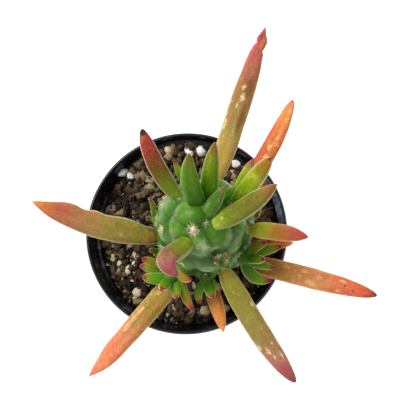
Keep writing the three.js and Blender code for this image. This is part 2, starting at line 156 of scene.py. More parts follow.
class Graph:
    """A node tree that is built from Python expressions."""

    def __init__(self, tree: bpy.types.NodeTree) -> None:
        """Starts from an empty tree."""
        self.tree = tree
        tree.nodes.clear()

    def node(
        self,
        kind: str,
        settings: Mapping[str, object] | None = None,
        inputs: Mapping[int | str, object] | None = None,
        output: int | str = 0,
    ) -> Signal:
        """Adds one node.

        Args:
            kind: The node's type.
            settings: Its properties, set first. "stops" fills a colour ramp.
            inputs: A value or a Signal for each socket, by index or name.
            output: The output that is wanted, by index or name.

        Returns:
            The wanted output, or the last input of a node that has no output.
        """
        made = self.tree.nodes.new(kind)
        for name, value in (settings or {}).items():
            if name == "stops":
                self.fill_ramp(made.color_ramp, value)
            else:
                setattr(made, name, value)
        for key, value in (inputs or {}).items():
            if isinstance(value, Signal):
                self.tree.links.new(value.socket, made.inputs[key])
            else:
                made.inputs[key].default_value = value
        return Signal(self, made.outputs[output] if made.outputs else made.inputs[-1])

    @staticmethod
    def fill_ramp(ramp: bpy.types.ColorRamp, stops: Stops) -> None:
        """Gives a colour ramp its stops.

        Args:
            ramp: The ramp.
            stops: The place and colour of each.
        """
        while len(ramp.elements) > 1:
            ramp.elements.remove(ramp.elements[-1])
        ramp.elements[0].position = stops[0][0]
        ramp.elements[0].color = paint(stops[0][1])
        for position, code in stops[1:]:
            ramp.elements.new(position).color = paint(code)

    def math(self, operation: str, *values: "Signal | float") -> Signal:
        """One Math node on the values."""
        return self.node("ShaderNodeMath", {"operation": operation}, dict(enumerate(values)))

    def vector(self, operation: str, *values: "Signal | Place", output: int | str = 0) -> Signal:
        """One Vector Math node on the values."""
        settings = {"operation": operation}
        return self.node("ShaderNodeVectorMath", settings, dict(enumerate(values)), output)

    def ease(self, value: Signal, low: float, high: float) -> Signal:
        """A smooth step that is 0 at low and 1 at high."""
        inputs = {0: value, 1: low, 2: high}
        return self.node("ShaderNodeMapRange", {"interpolation_type": "SMOOTHSTEP"}, inputs)

    def noise(self, where: Signal, scale: float, detail: float, rough: float) -> Signal:
        """Cloudy noise from 0 to 1, whose scale counts the waves to a unit of the place."""
        inputs = {"Vector": where, "Scale": scale, "Detail": detail, "Roughness": rough}
        return self.node("ShaderNodeTexNoise", None, inputs)

    def cells(self, where: Signal, scale: float) -> Signal:
        """The distance to the nearest of scattered points."""
        inputs = {"Vector": where, "Scale": scale}
        return self.node("ShaderNodeTexVoronoi", None, inputs, "Distance")

    def specks(self, where: Signal, scale: float, size: float) -> Signal:
        """A mask of small round specks, 1 inside them."""
        return 1.0 - self.ease(self.cells(where, scale), size * 0.6, size)


class Surface(Graph):
    """A procedural material."""

    def __init__(self, name: str) -> None:
        """Makes the material, with its place on the object in millimetres.

        Args:
            name: The material's name.
        """
        self.material = bpy.data.materials.new(name)
        self.material.use_nodes = True
        super().__init__(self.material.node_tree)
        place = self.node("ShaderNodeTexCoord", output="Object")
        self.place = self.vector("MULTIPLY", place, (1 / MM, 1 / MM, 1 / MM))

    def field(self, name: str) -> Signal:
        """A number that the mesh carries at each point."""
        return self.node("ShaderNodeAttribute", {"attribute_name": name}, output="Fac")

    def height(self) -> Signal:
        """Millimetres above the surface that the pot stands on."""
        return self.node("ShaderNodeSeparateXYZ", None, {0: self.place}, "Z")

    def mix(self, mask: "Signal | float", under: "Signal | str", over: "Signal | str") -> Signal:
        """One colour over another.

        Args:
            mask: 0 where the lower colour shows and 1 where the upper does.
            under: The lower colour.
            over: The upper colour.

        Returns:
            The mixed colour.
        """
        pair = [paint(colour) if isinstance(colour, str) else colour for colour in (under, over)]
        inputs = {0: mask, 6: pair[0], 7: pair[1]}
        return self.node("ShaderNodeMix", {"data_type": "RGBA"}, inputs, 2)

    def shade(self, colour: Signal, amount: Signal) -> Signal:
        """A colour made darker or lighter.

        Args:
            colour: The colour.
            amount: The factor.

        Returns:
            The new colour.
        """
        grey = self.node("ShaderNodeCombineXYZ", None, {0: amount, 1: amount, 2: amount})
        settings = {"data_type": "RGBA", "blend_type": "MULTIPLY"}
        return self.node("ShaderNodeMix", settings, {0: 1.0, 6: colour, 7: grey}, 2)

    def ramp(self, value: Signal, stops: Stops) -> Signal:
        """A colour picked from stops."""
        return self.node("ShaderNodeValToRGB", {"stops": stops}, {0: value})

    def bump(self, height: Signal, depth: float, strength: float) -> Signal:
        """A normal for a height field whose full step is depth millimetres."""
        inputs = {"Strength": strength, "Distance": depth * MM, "Height": height}
        return self.node("ShaderNodeBump", None, inputs)

    def finish(self, sockets: Mapping[str, object]) -> bpy.types.Material:
        """Closes the material.

        Args:
            sockets: A value or a Signal for each Principled BSDF socket that is set.

        Returns:
            The finished material.
        """
        shader = self.node("ShaderNodeBsdfPrincipled", None, sockets)
        self.node("ShaderNodeOutputMaterial", None, {"Surface": shader})
        return self.material


@dataclass
class Shell:
    """Points in millimetres, the faces between them, and numbers that they carry."""

    points: np.ndarray
    faces: list[list[int]]
    fields: dict[str, np.ndarray]

    @classmethod
    def over_rings(
        cls, rings: np.ndarray, start: np.ndarray, end: np.ndarray, fields: Mapping[str, np.ndarray]
    ) -> "Shell":
        """A closed skin over rings of points, with a pole at each end.

        Args:
            rings: The points, as ring by side by axis.
            start: The pole before the first ring.
            end: The pole after the last ring.
            fields: Numbers for each ring and side.

        Returns:
            The skin, with its faces turned outwards.
        """
        count, sides = rings.shape[:2]
        points = np.concatenate([start[None], rings.reshape(-1, 3), end[None]])
        last = len(points) - 1
        faces = []
        for side in range(sides):
            after = (side + 1) % sides
            base = 1 + (count - 1) * sides
            faces.append([0, 1 + after, 1 + side])
            faces.append([last, base + side, base + after])
            for ring in range(count - 1):
                low = 1 + ring * sides
                faces.append([low + side, low + after, low + sides + after, low + sides + side])
        carried = {
            name: np.concatenate([[grid[0].mean()], grid.ravel(), [grid[-1].mean()]])
            for name, grid in fields.items()
        }
        shell = cls(points, faces, carried)
        if shell.volume() < 0:
            shell.faces = [face[::-1] for face in faces]
        return shell

    @classmethod
    def joined(cls, shells: Sequence["Shell"]) -> "Shell":
        """Several shells as one.

        Args:
            shells: The shells, which carry the same numbers.

        Returns:
            One shell.
        """
        faces: list[list[int]] = []
        offset = 0
        for shell in shells:
            faces += [[corner + offset for corner in face] for face in shell.faces]
            offset += len(shell.points)
        points = np.concatenate([shell.points for shell in shells])
        names = shells[0].fields
        fields = {name: np.concatenate([shell.fields[name] for shell in shells]) for name in names}
        return cls(points, faces, fields)

    def volume(self) -> float:
        """Measures the closed volume.

        Returns:
            Cubic millimetres, negative where the faces point inwards.
        """
        fans = [(f[0], f[i], f[i + 1]) for f in self.faces for i in range(1, len(f) - 1)]
        a, b, c = (self.points[list(corner)] for corner in zip(*fans))
        return float(np.einsum("ij,ij->i", a, np.cross(b, c)).sum()) / 6

    def roughen(self, depth: float, grain: float, seed: int, hold: np.ndarray | float = 1.0) -> None:
        """Moves each point a little by smooth noise.

        Args:
            depth: The most that a point moves along each axis.
            grain: The size of the bumps.
            seed: Picks the noise. It counts from 1, because seed 0 would take the clock's time.
            hold: A factor for each point, 0 where it stays.
        """
        noise.seed_set(seed + 1)
        moves = [noise.noise_vector(Vector(point) / grain) for point in self.points]
        self.points = self.points + depth * np.array(moves) * np.reshape(hold, (-1, 1))

    def mesh(self, name: str) -> bpy.types.Object:
        """A mesh object of the shell, in metres.

        Args:
            name: The object's name.

        Returns:
            The object, linked to the scene.
        """
        mesh = bpy.data.meshes.new(name)
        mesh.from_pydata((self.points * MM).tolist(), [], self.faces)
        for key, values in self.fields.items():
            flat = np.asarray(values, dtype=np.float32)
            kind, slot = ("FLOAT_VECTOR", "vector") if flat.ndim == 2 else ("FLOAT", "value")
            mesh.attributes.new(key, kind, "POINT").data.foreach_set(slot, flat.ravel())
        if self.faces:
            mesh.shade_smooth()
        mesh.update()
        return add_object(name, mesh)


def settle(piece: bpy.types.Object, nodes: Sequence[str] = ()) -> None:
    """Tells the frame what a finished piece is.

    Args:
        piece: The piece, with its place in its mesh.
        nodes: The CAD nodes that it stands for.
    """
    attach(piece, BODY)
    if nodes:
        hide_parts(*nodes)
    triangles = sum(len(face.vertices) - 2 for face in piece.data.polygons)
    log.info("%s: %d triangles", piece.name, triangles)


class Recipe(Graph):
    """A Geometry Nodes tree that grows one shape on each point of a mesh of seats."""

    def __init__(self, name: str, inputs: Mapping[str, float]) -> None:
        """Opens the tree.

        Args:
            name: The tree's name.
            inputs: Its named inputs, with the values that they are used at.
        """
        super().__init__(bpy.data.node_groups.new(name, "GeometryNodeTree"))
        self.name = name
        self.values = dict(inputs)
        ports = self.tree.interface
        ports.new_socket("Geometry", in_out="INPUT", socket_type="NodeSocketGeometry")
        for key in inputs:
            ports.new_socket(key, in_out="INPUT", socket_type="NodeSocketFloat")
        ports.new_socket("Material", in_out="INPUT", socket_type="NodeSocketMaterial")
        ports.new_socket("Geometry", in_out="OUTPUT", socket_type="NodeSocketGeometry")
        self.source = self.tree.nodes.new("NodeGroupInput")

    def given(self, name: str) -> Signal:
        """A named input."""
        return Signal(self, self.source.outputs[name])

    def carried(self, name: str, kind: str = "FLOAT") -> Signal:
        """What the seats carry under a name."""
        return self.node("GeometryNodeInputNamedAttribute", {"data_type": kind}, {"Name": name})

    def draw(self, low: Place, high: Place, seed: int) -> Signal:
        """A random vector for each seat."""
        inputs = {0: low, 1: high, "Seed": seed}
        return self.node("FunctionNodeRandomValue", {"data_type": "FLOAT_VECTOR"}, inputs)

    def times(self, vector: Signal, factor: Signal) -> Signal:
        """A vector times a number."""
        return self.node("ShaderNodeVectorMath", {"operation": "SCALE"}, {0: vector, "Scale": factor})

    def close(self, placed: Signal) -> None:
        """Ends the tree in plain faces with the material.

        Args:
            placed: The geometry.
        """
        made = self.node("GeometryNodeRealizeInstances", None, {0: placed})
        dressed = {0: made, "Material": self.given("Material")}
        self.node("NodeGroupOutput", None, {0: self.node("GeometryNodeSetMaterial", None, dressed)})

    def grow(self, name: str, seats: Shell, material: bpy.types.Material) -> bpy.types.Object:
        """Runs the tree on the seats.

        Args:
            name: The new piece's name.
            seats: The points to grow on, with what they carry.
            material: The finish.

        Returns:
            The piece, as a plain mesh.
        """
        stand = seats.mesh(f"{name}_seats")
        modifier = stand.modifiers.new(self.name, "NODES")
        modifier.node_group = self.tree
        for item in self.tree.interface.items_tree:
            if item.item_type == "SOCKET" and item.in_out == "INPUT":
                if item.name in self.values:
                    modifier[item.identifier] = self.values[item.name]
                if item.name == "Material":
                    modifier[item.identifier] = material
        mesh = plain_mesh(stand, modifier)
        bpy.data.objects.remove(stand)
        mesh.name = name
        mesh.shade_smooth()
        return add_object(name, mesh)


class GrainShape(Enum):
    """A loose grain: how far it tips over, in radians, and its least and greatest proportions."""

    CHIP = (1.0, (0.8, 0.5, 0.45), (1.5, 1.0, 0.9))
    PEBBLE = (0.5, (0.9, 0.8, 0.7), (1.25, 1.0, 0.95))


def grain_recipe(shape: GrainShape, lumps: float, ripple: float, seed: int) -> Recipe:
    """A recipe for loose grains that lie at every angle.

    Args:
        shape: The shape that each grain starts from.
        lumps: How far its lumps stand out, in millimetres.
        ripple: How many lumps there are to a millimetre.
        seed: Picks the angles and proportions.

    Returns:
        The recipe.
    """
    recipe = Recipe(f"{shape.name.lower()}_{seed}", {"Lumps": lumps, "Ripple": ripple})
    tip, least, most = shape.value
    if shape is GrainShape.CHIP:
        cuts = {"Vertices X": 3, "Vertices Y": 3, "Vertices Z": 3}
        model = recipe.node("GeometryNodeMeshCube", None, {"Size": (1.0, 0.8, 0.5), **cuts})
    else:
        model = recipe.node("GeometryNodeMeshIcoSphere", None, {"Radius": 0.5, "Subdivisions": 4})
    angles = recipe.draw((-tip, -tip, -HALF_TURN), (tip, tip, HALF_TURN), seed)
    seat = {
        "Points": recipe.given("Geometry"),
        "Instance": model,
        "Rotation": recipe.node("FunctionNodeEulerToRotation", None, {0: angles}),
        "Scale": recipe.times(recipe.draw(least, most, seed + 1), recipe.carried("size") * MM),
    }
    placed = recipe.node("GeometryNodeInstanceOnPoints", None, seat)
    solid = recipe.node("GeometryNodeRealizeInstances", None, {0: placed})
    place = recipe.times(recipe.node("GeometryNodeInputPosition"), recipe.given("Ripple") * (1 / MM))
    lump = (recipe.noise(place, 1.0, 3.0, 0.6) - 0.5) * recipe.given("Lumps") * (2.0 * MM)
    offset = recipe.times(recipe.node("GeometryNodeInputNormal"), lump)
    recipe.close(recipe.node("GeometryNodeSetPosition", None, {0: solid, "Offset": offset}))
    return recipe


def hair_recipe(name: str, thickness: float, curl: float, seed: int) -> Recipe:
    """A recipe for fine tapering hairs, each along the way that its seat aims.

    Args:
        name: The recipe's name.
        thickness: The radius at the root as a share of the length.
        curl: How far the hair bends over, as a share of the length.
        seed: Picks the way that each hair bends.

    Returns:
        The recipe.
    """
    recipe = Recipe(name, {"Thickness": thickness, "Curl": curl})
    bend = recipe.node("ShaderNodeCombineXYZ", None, {0: recipe.given("Curl"), 2: 0.92})
    path = {"Resolution": 4, "Start": (0, 0, 0), "Middle": (0, 0, 0.5), "End": bend}
    line = recipe.node("GeometryNodeCurveQuadraticBezier", None, path)
    section = {"Resolution": 3, "Radius": recipe.given("Thickness")}
    ring = recipe.node("GeometryNodeCurvePrimitiveCircle", None, section)
    taper = 1.0 - 0.85 * recipe.node("GeometryNodeSplineParameter")
    shape = {"Curve": line, "Profile Curve": ring, "Scale": taper, "Fill Caps": True}
    hair = recipe.node("GeometryNodeCurveToMesh", None, shape)
    aim = {"Vector": recipe.carried("aim", "FLOAT_VECTOR")}
    way = recipe.node("FunctionNodeAlignRotationToVector", {"axis": "Z"}, aim)
    angles = recipe.draw((0, 0, -HALF_TURN), (0, 0, HALF_TURN), seed)
    turns = {0: way, 1: recipe.node("FunctionNodeEulerToRotation", None, {0: angles})}
    size = recipe.carried("size") * MM
    placed = {
        "Points": recipe.given("Geometry"),
        "Instance": hair,
        "Rotation": recipe.node("FunctionNodeRotateRotation", {"rotation_space": "LOCAL"}, turns),
        "Scale": recipe.node("ShaderNodeCombineXYZ", None, {0: size, 1: size, 2: size}),
    }
    recipe.close(recipe.node("GeometryNodeInstanceOnPoints", None, placed))
    return recipe


def source_draws(seed: int) -> Iterator[float]:
    """The same random numbers as the part's source draws.

    Args:
        seed: The source's seed.

    Yields:
        Numbers from 0 up to 1.
    """
    word, stride = 0xFFFFFFFF, 0x6D2B79F5
    state = seed
    while True:
        state = (state + stride) & word
        mixed = ((state ^ (state >> 15)) * (1 | state)) & word
        mixed = ((mixed + (((mixed ^ (mixed >> 7)) * (61 | mixed)) & word)) & word) ^ mixed
        yield ((mixed ^ (mixed >> 14)) & word) / (word + 1)


@dataclass(frozen=True)
class PaintedReflection:
    """A painted reflection of the light, a pale bluish band inside the wall: degrees round it, half its
    spread, and its two heights.
    """

    turn: float
    spread: float
    low: float
    high: float


@dataclass(frozen=True)
class PotPlastic:
    """Glossy black moulded plastic with dust and fine scratches, and pale bluish streaks and bands that
    are painted reflections of the light.
    """

    black: str = "#090d17"
    worn: str = "#1e2533"
    dust: str = "#6e655a"
    # The pale bluish colour of the painted reflections.
    marks: str = "#98a2bc"
    reflection_radius: float = 42.0
    reflection_fade: float = 1.5
    painted_reflections: tuple[PaintedReflection, ...] = (PaintedReflection(184, 34, 64, 69.2), PaintedReflection(16, 22, 67, 82))

    def build(self, pot: "NurseryPot", soil_line: float) -> bpy.types.Material:
        """The material.

        Args:
            pot: The pot, for the slope of its wall.
            soil_line: The height that the splashed dust gathers at.

        Returns:
            The material.
        """
        surface = Surface("pot_plastic")
        height = surface.height()
        cloud = surface.noise(surface.place, 0.07, 4.0, 0.6)
        upright = surface.vector("MULTIPLY", surface.place, (1.0, 1.0, 0.1))
        streaks = surface.noise(upright, 0.4, 3.0, 0.6)
        level = surface.vector("MULTIPLY", surface.place, (0.25, 0.25, 3.0))
        scratches = surface.noise(level, 2.4, 2.0, 0.7)
        specks = surface.specks(surface.place, 0.5, 0.16) * surface.ease(cloud, 0.45, 0.6)
        splash = surface.ease(height, soil_line - 8.0, soil_line + 2.0)
        splash = splash * (1.0 - surface.ease(height, soil_line + 3.0, soil_line + 10.0))
        dust = splash * surface.ease(surface.noise(surface.place, 0.35, 5.0, 0.7), 0.5, 0.75)
        across = surface.vector("MULTIPLY", surface.place, (1.0, 1.0, 0.0))
        reach = surface.vector("LENGTH", across, output="Value")
        beyond = reach - (height * pot.flare + pot.base_radius)
        inside = 1.0 - surface.ease(beyond, -pot.wall * 0.8, -pot.wall * 0.5)
        # Pale bluish streaks all over, and bands inside the wall at the listed turns, are painted
        # reflections of the light on the glossy plastic.
        marks = surface.ease(streaks, 0.56, 0.78) * surface.ease(cloud, 0.42, 0.62) * 0.18
        for mark in self.painted_reflections:
            turn = math.radians(mark.turn)
            way = (math.cos(turn) / self.reflection_radius, math.sin(turn) / self.reflection_radius, 0.0)
            facing = surface.vector("DOT_PRODUCT", surface.place, way, output="Value")
            side = surface.ease(facing, math.cos(math.radians(mark.spread)) - 0.02, 1.0)
            band = surface.ease(height, mark.low, mark.low + self.reflection_fade)
            band = band * (1.0 - surface.ease(height, mark.high - self.reflection_fade, mark.high))
            marks = marks + side * inside * band * (0.25 + 0.75 * surface.ease(streaks, 0.4, 0.62))
        colour = surface.mix(surface.ease(cloud, 0.3, 0.8) * 0.5, self.black, self.worn)
        # The painted reflections go over the plastic's colour.
        colour = surface.mix(marks * 0.95, colour, self.marks)
        colour = surface.mix((dust * 0.55 + specks * 0.35) * (1.0 - inside * 0.7), colour, self.dust)
        rough = 0.18 + cloud * 0.14 + marks * 0.2 + dust * 0.35 + specks * 0.3
        return surface.finish(
            {
                "Base Color": colour,
                "Roughness": rough,
                "Normal": surface.bump(scratches * 0.5 + cloud, 0.05, 0.35),
                "Specular IOR Level": 0.32,
            }
        )


@dataclass
class NurseryPot:
    """The thin flared pot with its rolled lip and the drain slots round its foot."""

    height: float = 78.0
    rim_radius: float = 45.0
    wall_top_radius: float = 43.2
    base_radius: float = 32.0
    wall: float = 1.2
    floor: float = 1.6
    lip_depth: float = 7.0
    lip_round: float = 0.7
    segments: int = 192
    drain_holes: int = 8
    drain_width: float = 7.0
    drain_height: float = 5.0
    drain_reach: float = 8.0
    drain_bevel: float = 0.9
    sharp_angle: float = 38.0
    finish: PotPlastic = field(default_factory=PotPlastic)

    @property
    def flare(self) -> float:
        """How fast the wall's radius grows with its height."""
        return (self.wall_top_radius - self.base_radius) / (self.height - self.lip_depth)

    def outer(self, z: float) -> float:
        """The wall's outer radius at a height."""
        return self.base_radius + self.flare * z

    def inner(self, z: float) -> float:
        """The wall's inner radius at a height."""
        return self.outer(z) - self.wall

    def profile(self) -> list[tuple[float, float]]:
        """The section from the middle of the underside round to the middle of the floor.

        Returns:
            Radius and height of each point, with its corners rounded.
        """
        lip = self.height - self.lip_depth
        curve = self.lip_round
        rim = self.rim_radius
        corners = [
            (0.0, 0.0),
            (self.base_radius - 3.2, 0.0),
            (self.base_radius - curve, 0.0),
            (self.outer(curve), curve),
            (self.outer(lip * 0.35), lip * 0.35),
            (self.outer(lip * 0.7), lip * 0.7),
            (self.outer(lip - 0.6), lip - 0.6),
            (self.outer(lip), lip),
            (rim - curve / 2, lip + curve),
            (rim - 0.15, lip + 3.0),
            (rim, self.height - 2 * curve),
            (rim - curve, self.height - curve / 3),
            (rim - 2 * curve, self.height),
            (self.inner(self.height) + curve / 3, self.height - curve / 2),
            (self.inner(self.height - 2 * curve), self.height - 2 * curve),
            (self.inner(lip), lip),
            (self.inner(lip * 0.4), lip * 0.4),
            (self.inner(self.floor + 1.2), self.floor + 1.2),
            (self.inner(self.floor) - 1.0, self.floor),
            (0.0, self.floor),
        ]
        smooth = [corners[0]]
        for before, corner, after in zip(corners, corners[1:], corners[2:]):
            for share in (0.0, 0.5, 1.0):
                a, b, c = ((1 - share) ** 2, 2 * share * (1 - share), share**2)
                ends = []
                for other in (before, after):
                    reach = math.dist(corner, other)
                    pull = min(0.35, 0.45 * reach) / reach
                    ends.append([k + (o - k) * pull for k, o in zip(corner, other)])
                smooth.append(tuple(a * s + b * k + c * e for s, k, e in zip(ends[0], corner, ends[1])))
        return smooth + [corners[-1]]

    def drain_cutter(self) -> bpy.types.Object:
        """Makes the round-cornered blocks that cut the drain slots.

        Returns:
            All the blocks as one object.
        """
        blocks = bmesh.new()
        for hole in range(self.drain_holes):
            angle = (hole + 0.5) * 2 * math.pi / self.drain_holes
            size = (self.drain_reach, self.drain_width, 2 * self.drain_height)
            place = Matrix.Rotation(angle, 4, "Z") @ Matrix.Translation((self.base_radius, 0, 0))
            block = bmesh.ops.create_cube(blocks, size=1.0, matrix=place @ Matrix.Diagonal((*size, 1)))
            edges = list({edge for corner in block["verts"] for edge in corner.link_edges})
            bevel = {"offset": self.drain_bevel, "segments": 3, "affect": "EDGES"}
            bmesh.ops.bevel(blocks, geom=edges, **bevel)
        bmesh.ops.scale(blocks, vec=(MM, MM, MM), verts=blocks.verts)
        mesh = bpy.data.meshes.new("drain_cutter")
        blocks.to_mesh(mesh)
        blocks.free()
        return add_object("drain_cutter", mesh)

    def build(self, soil_line: float) -> None:
        """Makes the pot in place of its solid.

        Args:
            soil_line: The height of the soil, for the dust on the wall.
        """
        section = np.array(self.profile())
        angles = np.linspace(0, 2 * np.pi, self.segments, endpoint=False)
        radius, level = section[1:-1, 0][:, None], section[1:-1, 1][:, None]
        rings = np.stack(
            [radius * np.cos(angles), radius * np.sin(angles), level + 0 * angles], axis=-1
        )
        under, over = (np.array([0.0, 0.0, z]) for z in (0.0, self.floor))
        piece = Shell.over_rings(rings, under, over, {}).mesh("pot_moulding")
        cutter = self.drain_cutter()
        cut = piece.modifiers.new("drain slots", "BOOLEAN")
        cut.operation = "DIFFERENCE"
        cut.object = cutter
        cut.solver = "EXACT"
        mesh = plain_mesh(piece, cut)
        piece.data = mesh
        bpy.data.objects.remove(cutter)
        mesh.shade_smooth()
        edges = bmesh.new()
        edges.from_mesh(mesh)
        limit = math.radians(self.sharp_angle)
        for edge in edges.edges:
            edge.smooth = edge.is_manifold and edge.calc_face_angle(0.0) < limit
        edges.to_mesh(mesh)
        edges.free()
        mesh.materials.clear()
        mesh.materials.append(self.finish.build(self, soil_line))
        settle(piece, ["pot"])


@dataclass(frozen=True)
class GrainFinish:
    """A dull mineral or bark surface whose colour runs from grain to grain."""

    name: str
    stops: Stops
    grain: float = 1.6
    depth: float = 0.25
    dark: float = 0.45
    rough: float = 0.9

    def build(self) -> bpy.types.Material:
        """Makes the material.

        Returns:
            The material.
        """
        surface = Surface(self.name)
        tone = surface.field("tone")
        cloud = surface.noise(surface.place, self.grain, 5.0, 0.7)
        pits = surface.cells(surface.place, self.grain * 2.2)
        colour = surface.ramp(tone + (cloud - 0.5) * 0.3, self.stops)
        light = (1.0 - self.dark) + surface.ease(cloud, 0.3, 0.7) * self.dark
        colour = surface.shade(colour, light * (0.75 + surface.ease(pits, 0.1, 0.5) * 0.25))
        relief = surface.bump(cloud * 0.7 + pits * 0.6, self.depth, 0.9)
        return surface.finish(
            {"Base Color": colour, "Roughness": self.rough, "Normal": relief, "IOR": 1.4}
        )


@dataclass(frozen=True)
class Pebble:
    """A large pale grain: its place, size and tone, from 0 for white perlite to 1 for grey."""

    x: float
    y: float
    size: float
    tone: float


@dataclass(frozen=True)
class GrainLayer:
    """One piece of loose grains: its recipe, and how far each stands up as a share of its size."""

    piece: str
    shape: GrainShape
    lumps: float
    ripple: float
    seed: int
    lift: float


@dataclass
class PottingMix:
    """The soil in the pot: a rough bed of peat with bark chips, perlite and grit on it."""

    pot: NurseryPot
    stem: "StemForm"
    middle: float = 66.5
    slope: float = 0.1
    back_rise: float = 0.0025
    side_fall: float = 0.0015
    clearance: float = 0.3
    wall_rings: int = 5
    rows: int = 64
    segments: int = 176
    bed_lumps: float = 0.32
    bed_sunk: float = 0.25
    bed_tone: float = 0.42
    source_seed: int = 7
    source_rings: int = 6
    source_segments: int = 48
    bark_chips: int = 44
    bark_size: tuple[float, float] = (3.2, 6.5)
    small_grains: int = 10
    small_grain_size: tuple[float, float] = (2.0, 3.2)
    spread: tuple[float, float] = (0.14, 1.0)
    draws_to_a_grain: int = 5
    bark_tone: tuple[float, float] = (0.25, 0.75)
    crumbs: int = 3100
    crumb_size: tuple[float, float] = (0.7, 4.4)
    crumb_tone: tuple[float, float] = (1.3, 1.5)
    perlite_crumbs: int = 220
    perlite_size: tuple[float, float] = (0.6, 2.2)
    perlite_tones: tuple[float, ...] = (0.0, 0.1, 0.35, 0.5, 0.8, 0.95)
    fineness: float = 3.0
    seed: int = 5
    layers: tuple[GrainLayer, ...] = (
        GrainLayer("soil_bark", GrainShape.CHIP, 0.55, 0.6, 3, 0.12),
        GrainLayer("soil_crumbs", GrainShape.CHIP, 0.5, 0.9, 9, 0.3),
        GrainLayer("soil_perlite", GrainShape.PEBBLE, 0.85, 0.6, 21, 0.2),
        GrainLayer("soil_grit", GrainShape.CHIP, 0.3, 1.0, 33, 0.35),
    )
    pebbles: tuple[Pebble, ...] = (
        Pebble(-30.0, 28.0, 4.4, 0.05), Pebble(-26.6, 26.5, 3.8, 0.0), Pebble(0.9, 36.5, 4.6, 0.0),
        Pebble(6.3, 37.0, 5.0, 0.08), Pebble(22.0, 31.5, 4.2, 0.0), Pebble(-27.5, -16.4, 4.2, 0.12),
        Pebble(-8.7, 37.5, 4.0, 0.5), Pebble(24.5, 27.0, 3.6, 0.55), Pebble(20.6, 26.8, 4.0, 0.68),
        Pebble(-35.0, -10.6, 3.6, 0.45), Pebble(-31.0, -13.4, 3.4, 0.3),
        Pebble(-22.5, -26.9, 4.4, 0.35), Pebble(3.1, -23.5, 3.4, 0.35), Pebble(2.5, -35.5, 3.4, 0.9),
        Pebble(8.3, -34.8, 5.4, 0.4), Pebble(17.0, -33.5, 4.4, 0.4), Pebble(-35.0, 11.6, 4.6, 0.95),
    )
    peat: GrainFinish = GrainFinish(
        "peat_bed", fade("0#080604 40#1e1811 70#3c3122 100#6b5f48"), grain=0.7, depth=0.5
    )
    bark: GrainFinish = GrainFinish(
        "bark_and_peat",
        fade("0#120d08 30#362a1b 55#5c4931 75#7d6849 90#a8946e 100#cdbf9e"),
        grain=1.1,
        depth=0.35,
    )
    perlite: GrainFinish = GrainFinish(
        "perlite_and_grit",
        fade("0#f4f2ee 20#eee7d6 45#dac798 60#cfae82 75#b98f74 100#77736e"),
        grain=1.3,
        depth=0.3,
        dark=0.2,
        rough=0.8,
    )

    def level(self, x: float, y: float) -> float:
        """The soil's height at a place."""
        return self.middle + self.slope * y + self.back_rise * y * y - self.side_fall * x * x

    def bed(self) -> None:
        """Makes the bed, which fills the pot up to the rough top."""
        bottom = self.pot.floor + self.clearance
        angles = np.linspace(0, 2 * np.pi, self.segments, endpoint=False)
        rays = np.stack([np.cos(angles), np.sin(angles)], axis=-1)
        edge = []
        for ray in rays:
            reach = self.pot.inner(self.middle) - self.clearance
            height = self.level(*(ray * reach))
            edge.append([*(ray * (self.pot.inner(height) - self.clearance)), height])
        rough, gap, octaves = 0.75, 2.1, 4
        rings = []
        for share in np.linspace(0.0, 1.0, self.wall_rings):
            foot = self.pot.inner(bottom) - self.clearance
            low = np.array([[*(ray * foot), bottom] for ray in rays])
            rings.append(low + (np.array(edge) - low) * share)
        for row in range(1, self.rows):
            share = 1 - row / self.rows
            ring = []
            for rim in edge:
                x, y = rim[0] * share, rim[1] * share
                place = Vector((x * self.bed_lumps, y * self.bed_lumps, 4.0))
                lumps = noise.fractal(place, rough, gap, octaves)
                inwards = min(1.0, (1 - share) * 9)
                ring.append([x, y, self.level(x, y) + lumps * inwards - self.bed_sunk])
            rings.append(np.array(ring))
        grid = np.array(rings)
        tone = np.full(grid.shape[:2], self.bed_tone)
        under, over = (np.array([0.0, 0.0, z]) for z in (bottom, self.middle))
        piece = Shell.over_rings(grid, under, over, {"tone": tone}).mesh("soil_bed")
        piece.data.materials.append(self.peat.build())
        settle(piece, ["soil"])

    def source_grains(self) -> tuple[list[list[float]], list[list[float]]]:
        """The chips and small grains at the places that the part's source draws.

        Returns:
            Two lists of x, y and size: the bark chips and the small grains.
        """
        draws = source_draws(self.source_seed)
        bed_draws = self.source_rings * self.source_segments
        for _ in range(bed_draws + self.draws_to_a_grain * len(self.pebbles)):
            next(draws)
        groups: tuple[list[list[float]], list[list[float]]] = ([], [])
        plans = ((self.bark_chips, self.bark_size), (self.small_grains, self.small_grain_size))
        for group, (count, sizes) in zip(groups, plans):
            for _ in range(count):
                size = sizes[0] + (sizes[1] - sizes[0]) * next(draws)
                room = self.pot.inner(self.middle) - size
                share = self.spread[0] + (self.spread[1] - self.spread[0]) * next(draws)
                angle = 2 * math.pi * next(draws)
                radius = room * math.sqrt(share)
                group.append([radius * math.cos(angle), radius * math.sin(angle), size])
                for _ in range(self.draws_to_a_grain):
                    next(draws)
        return groups

    def seats(self, grains: Sequence[Sequence[float]], lift: float) -> Shell:
        """Seats for grains.

        Args:
            grains: x, y, size and tone of each.
            lift: How far each grain's middle stands above the bed, as a share of its size.

        Returns:
            The seats, with size and tone.
        """
        table = np.array(grains)
        heights = [self.level(x, y) + size * lift for x, y, size, _ in grains]
        points = np.column_stack([table[:, 0], table[:, 1], heights])
        return Shell(points, [], {"size": table[:, 2], "tone": table[:, 3]})

    def scattered(
        self, count: int, sizes: tuple[float, float], rng: random.Random
    ) -> list[list[float]]:
        """Random places over the soil, clear of the stem and the wall.

        Args:
            count: How many are tried.
            sizes: The smallest and largest size.
            rng: The seeded generator.

        Returns:
            x, y and size of each.
        """
        places = []
        for _ in range(count):
            size = sizes[0] + (sizes[1] - sizes[0]) * rng.random() ** self.fineness
            radius = (self.pot.inner(self.middle) - size * 0.6) * math.sqrt(rng.random())
            angle = 2 * math.pi * rng.random()
            x, y = radius * math.cos(angle), radius * math.sin(angle)
            if math.dist((x, y), self.stem.foot) > self.stem.neck_radius - 1.0:
                places.append([x, y, size])
        return places

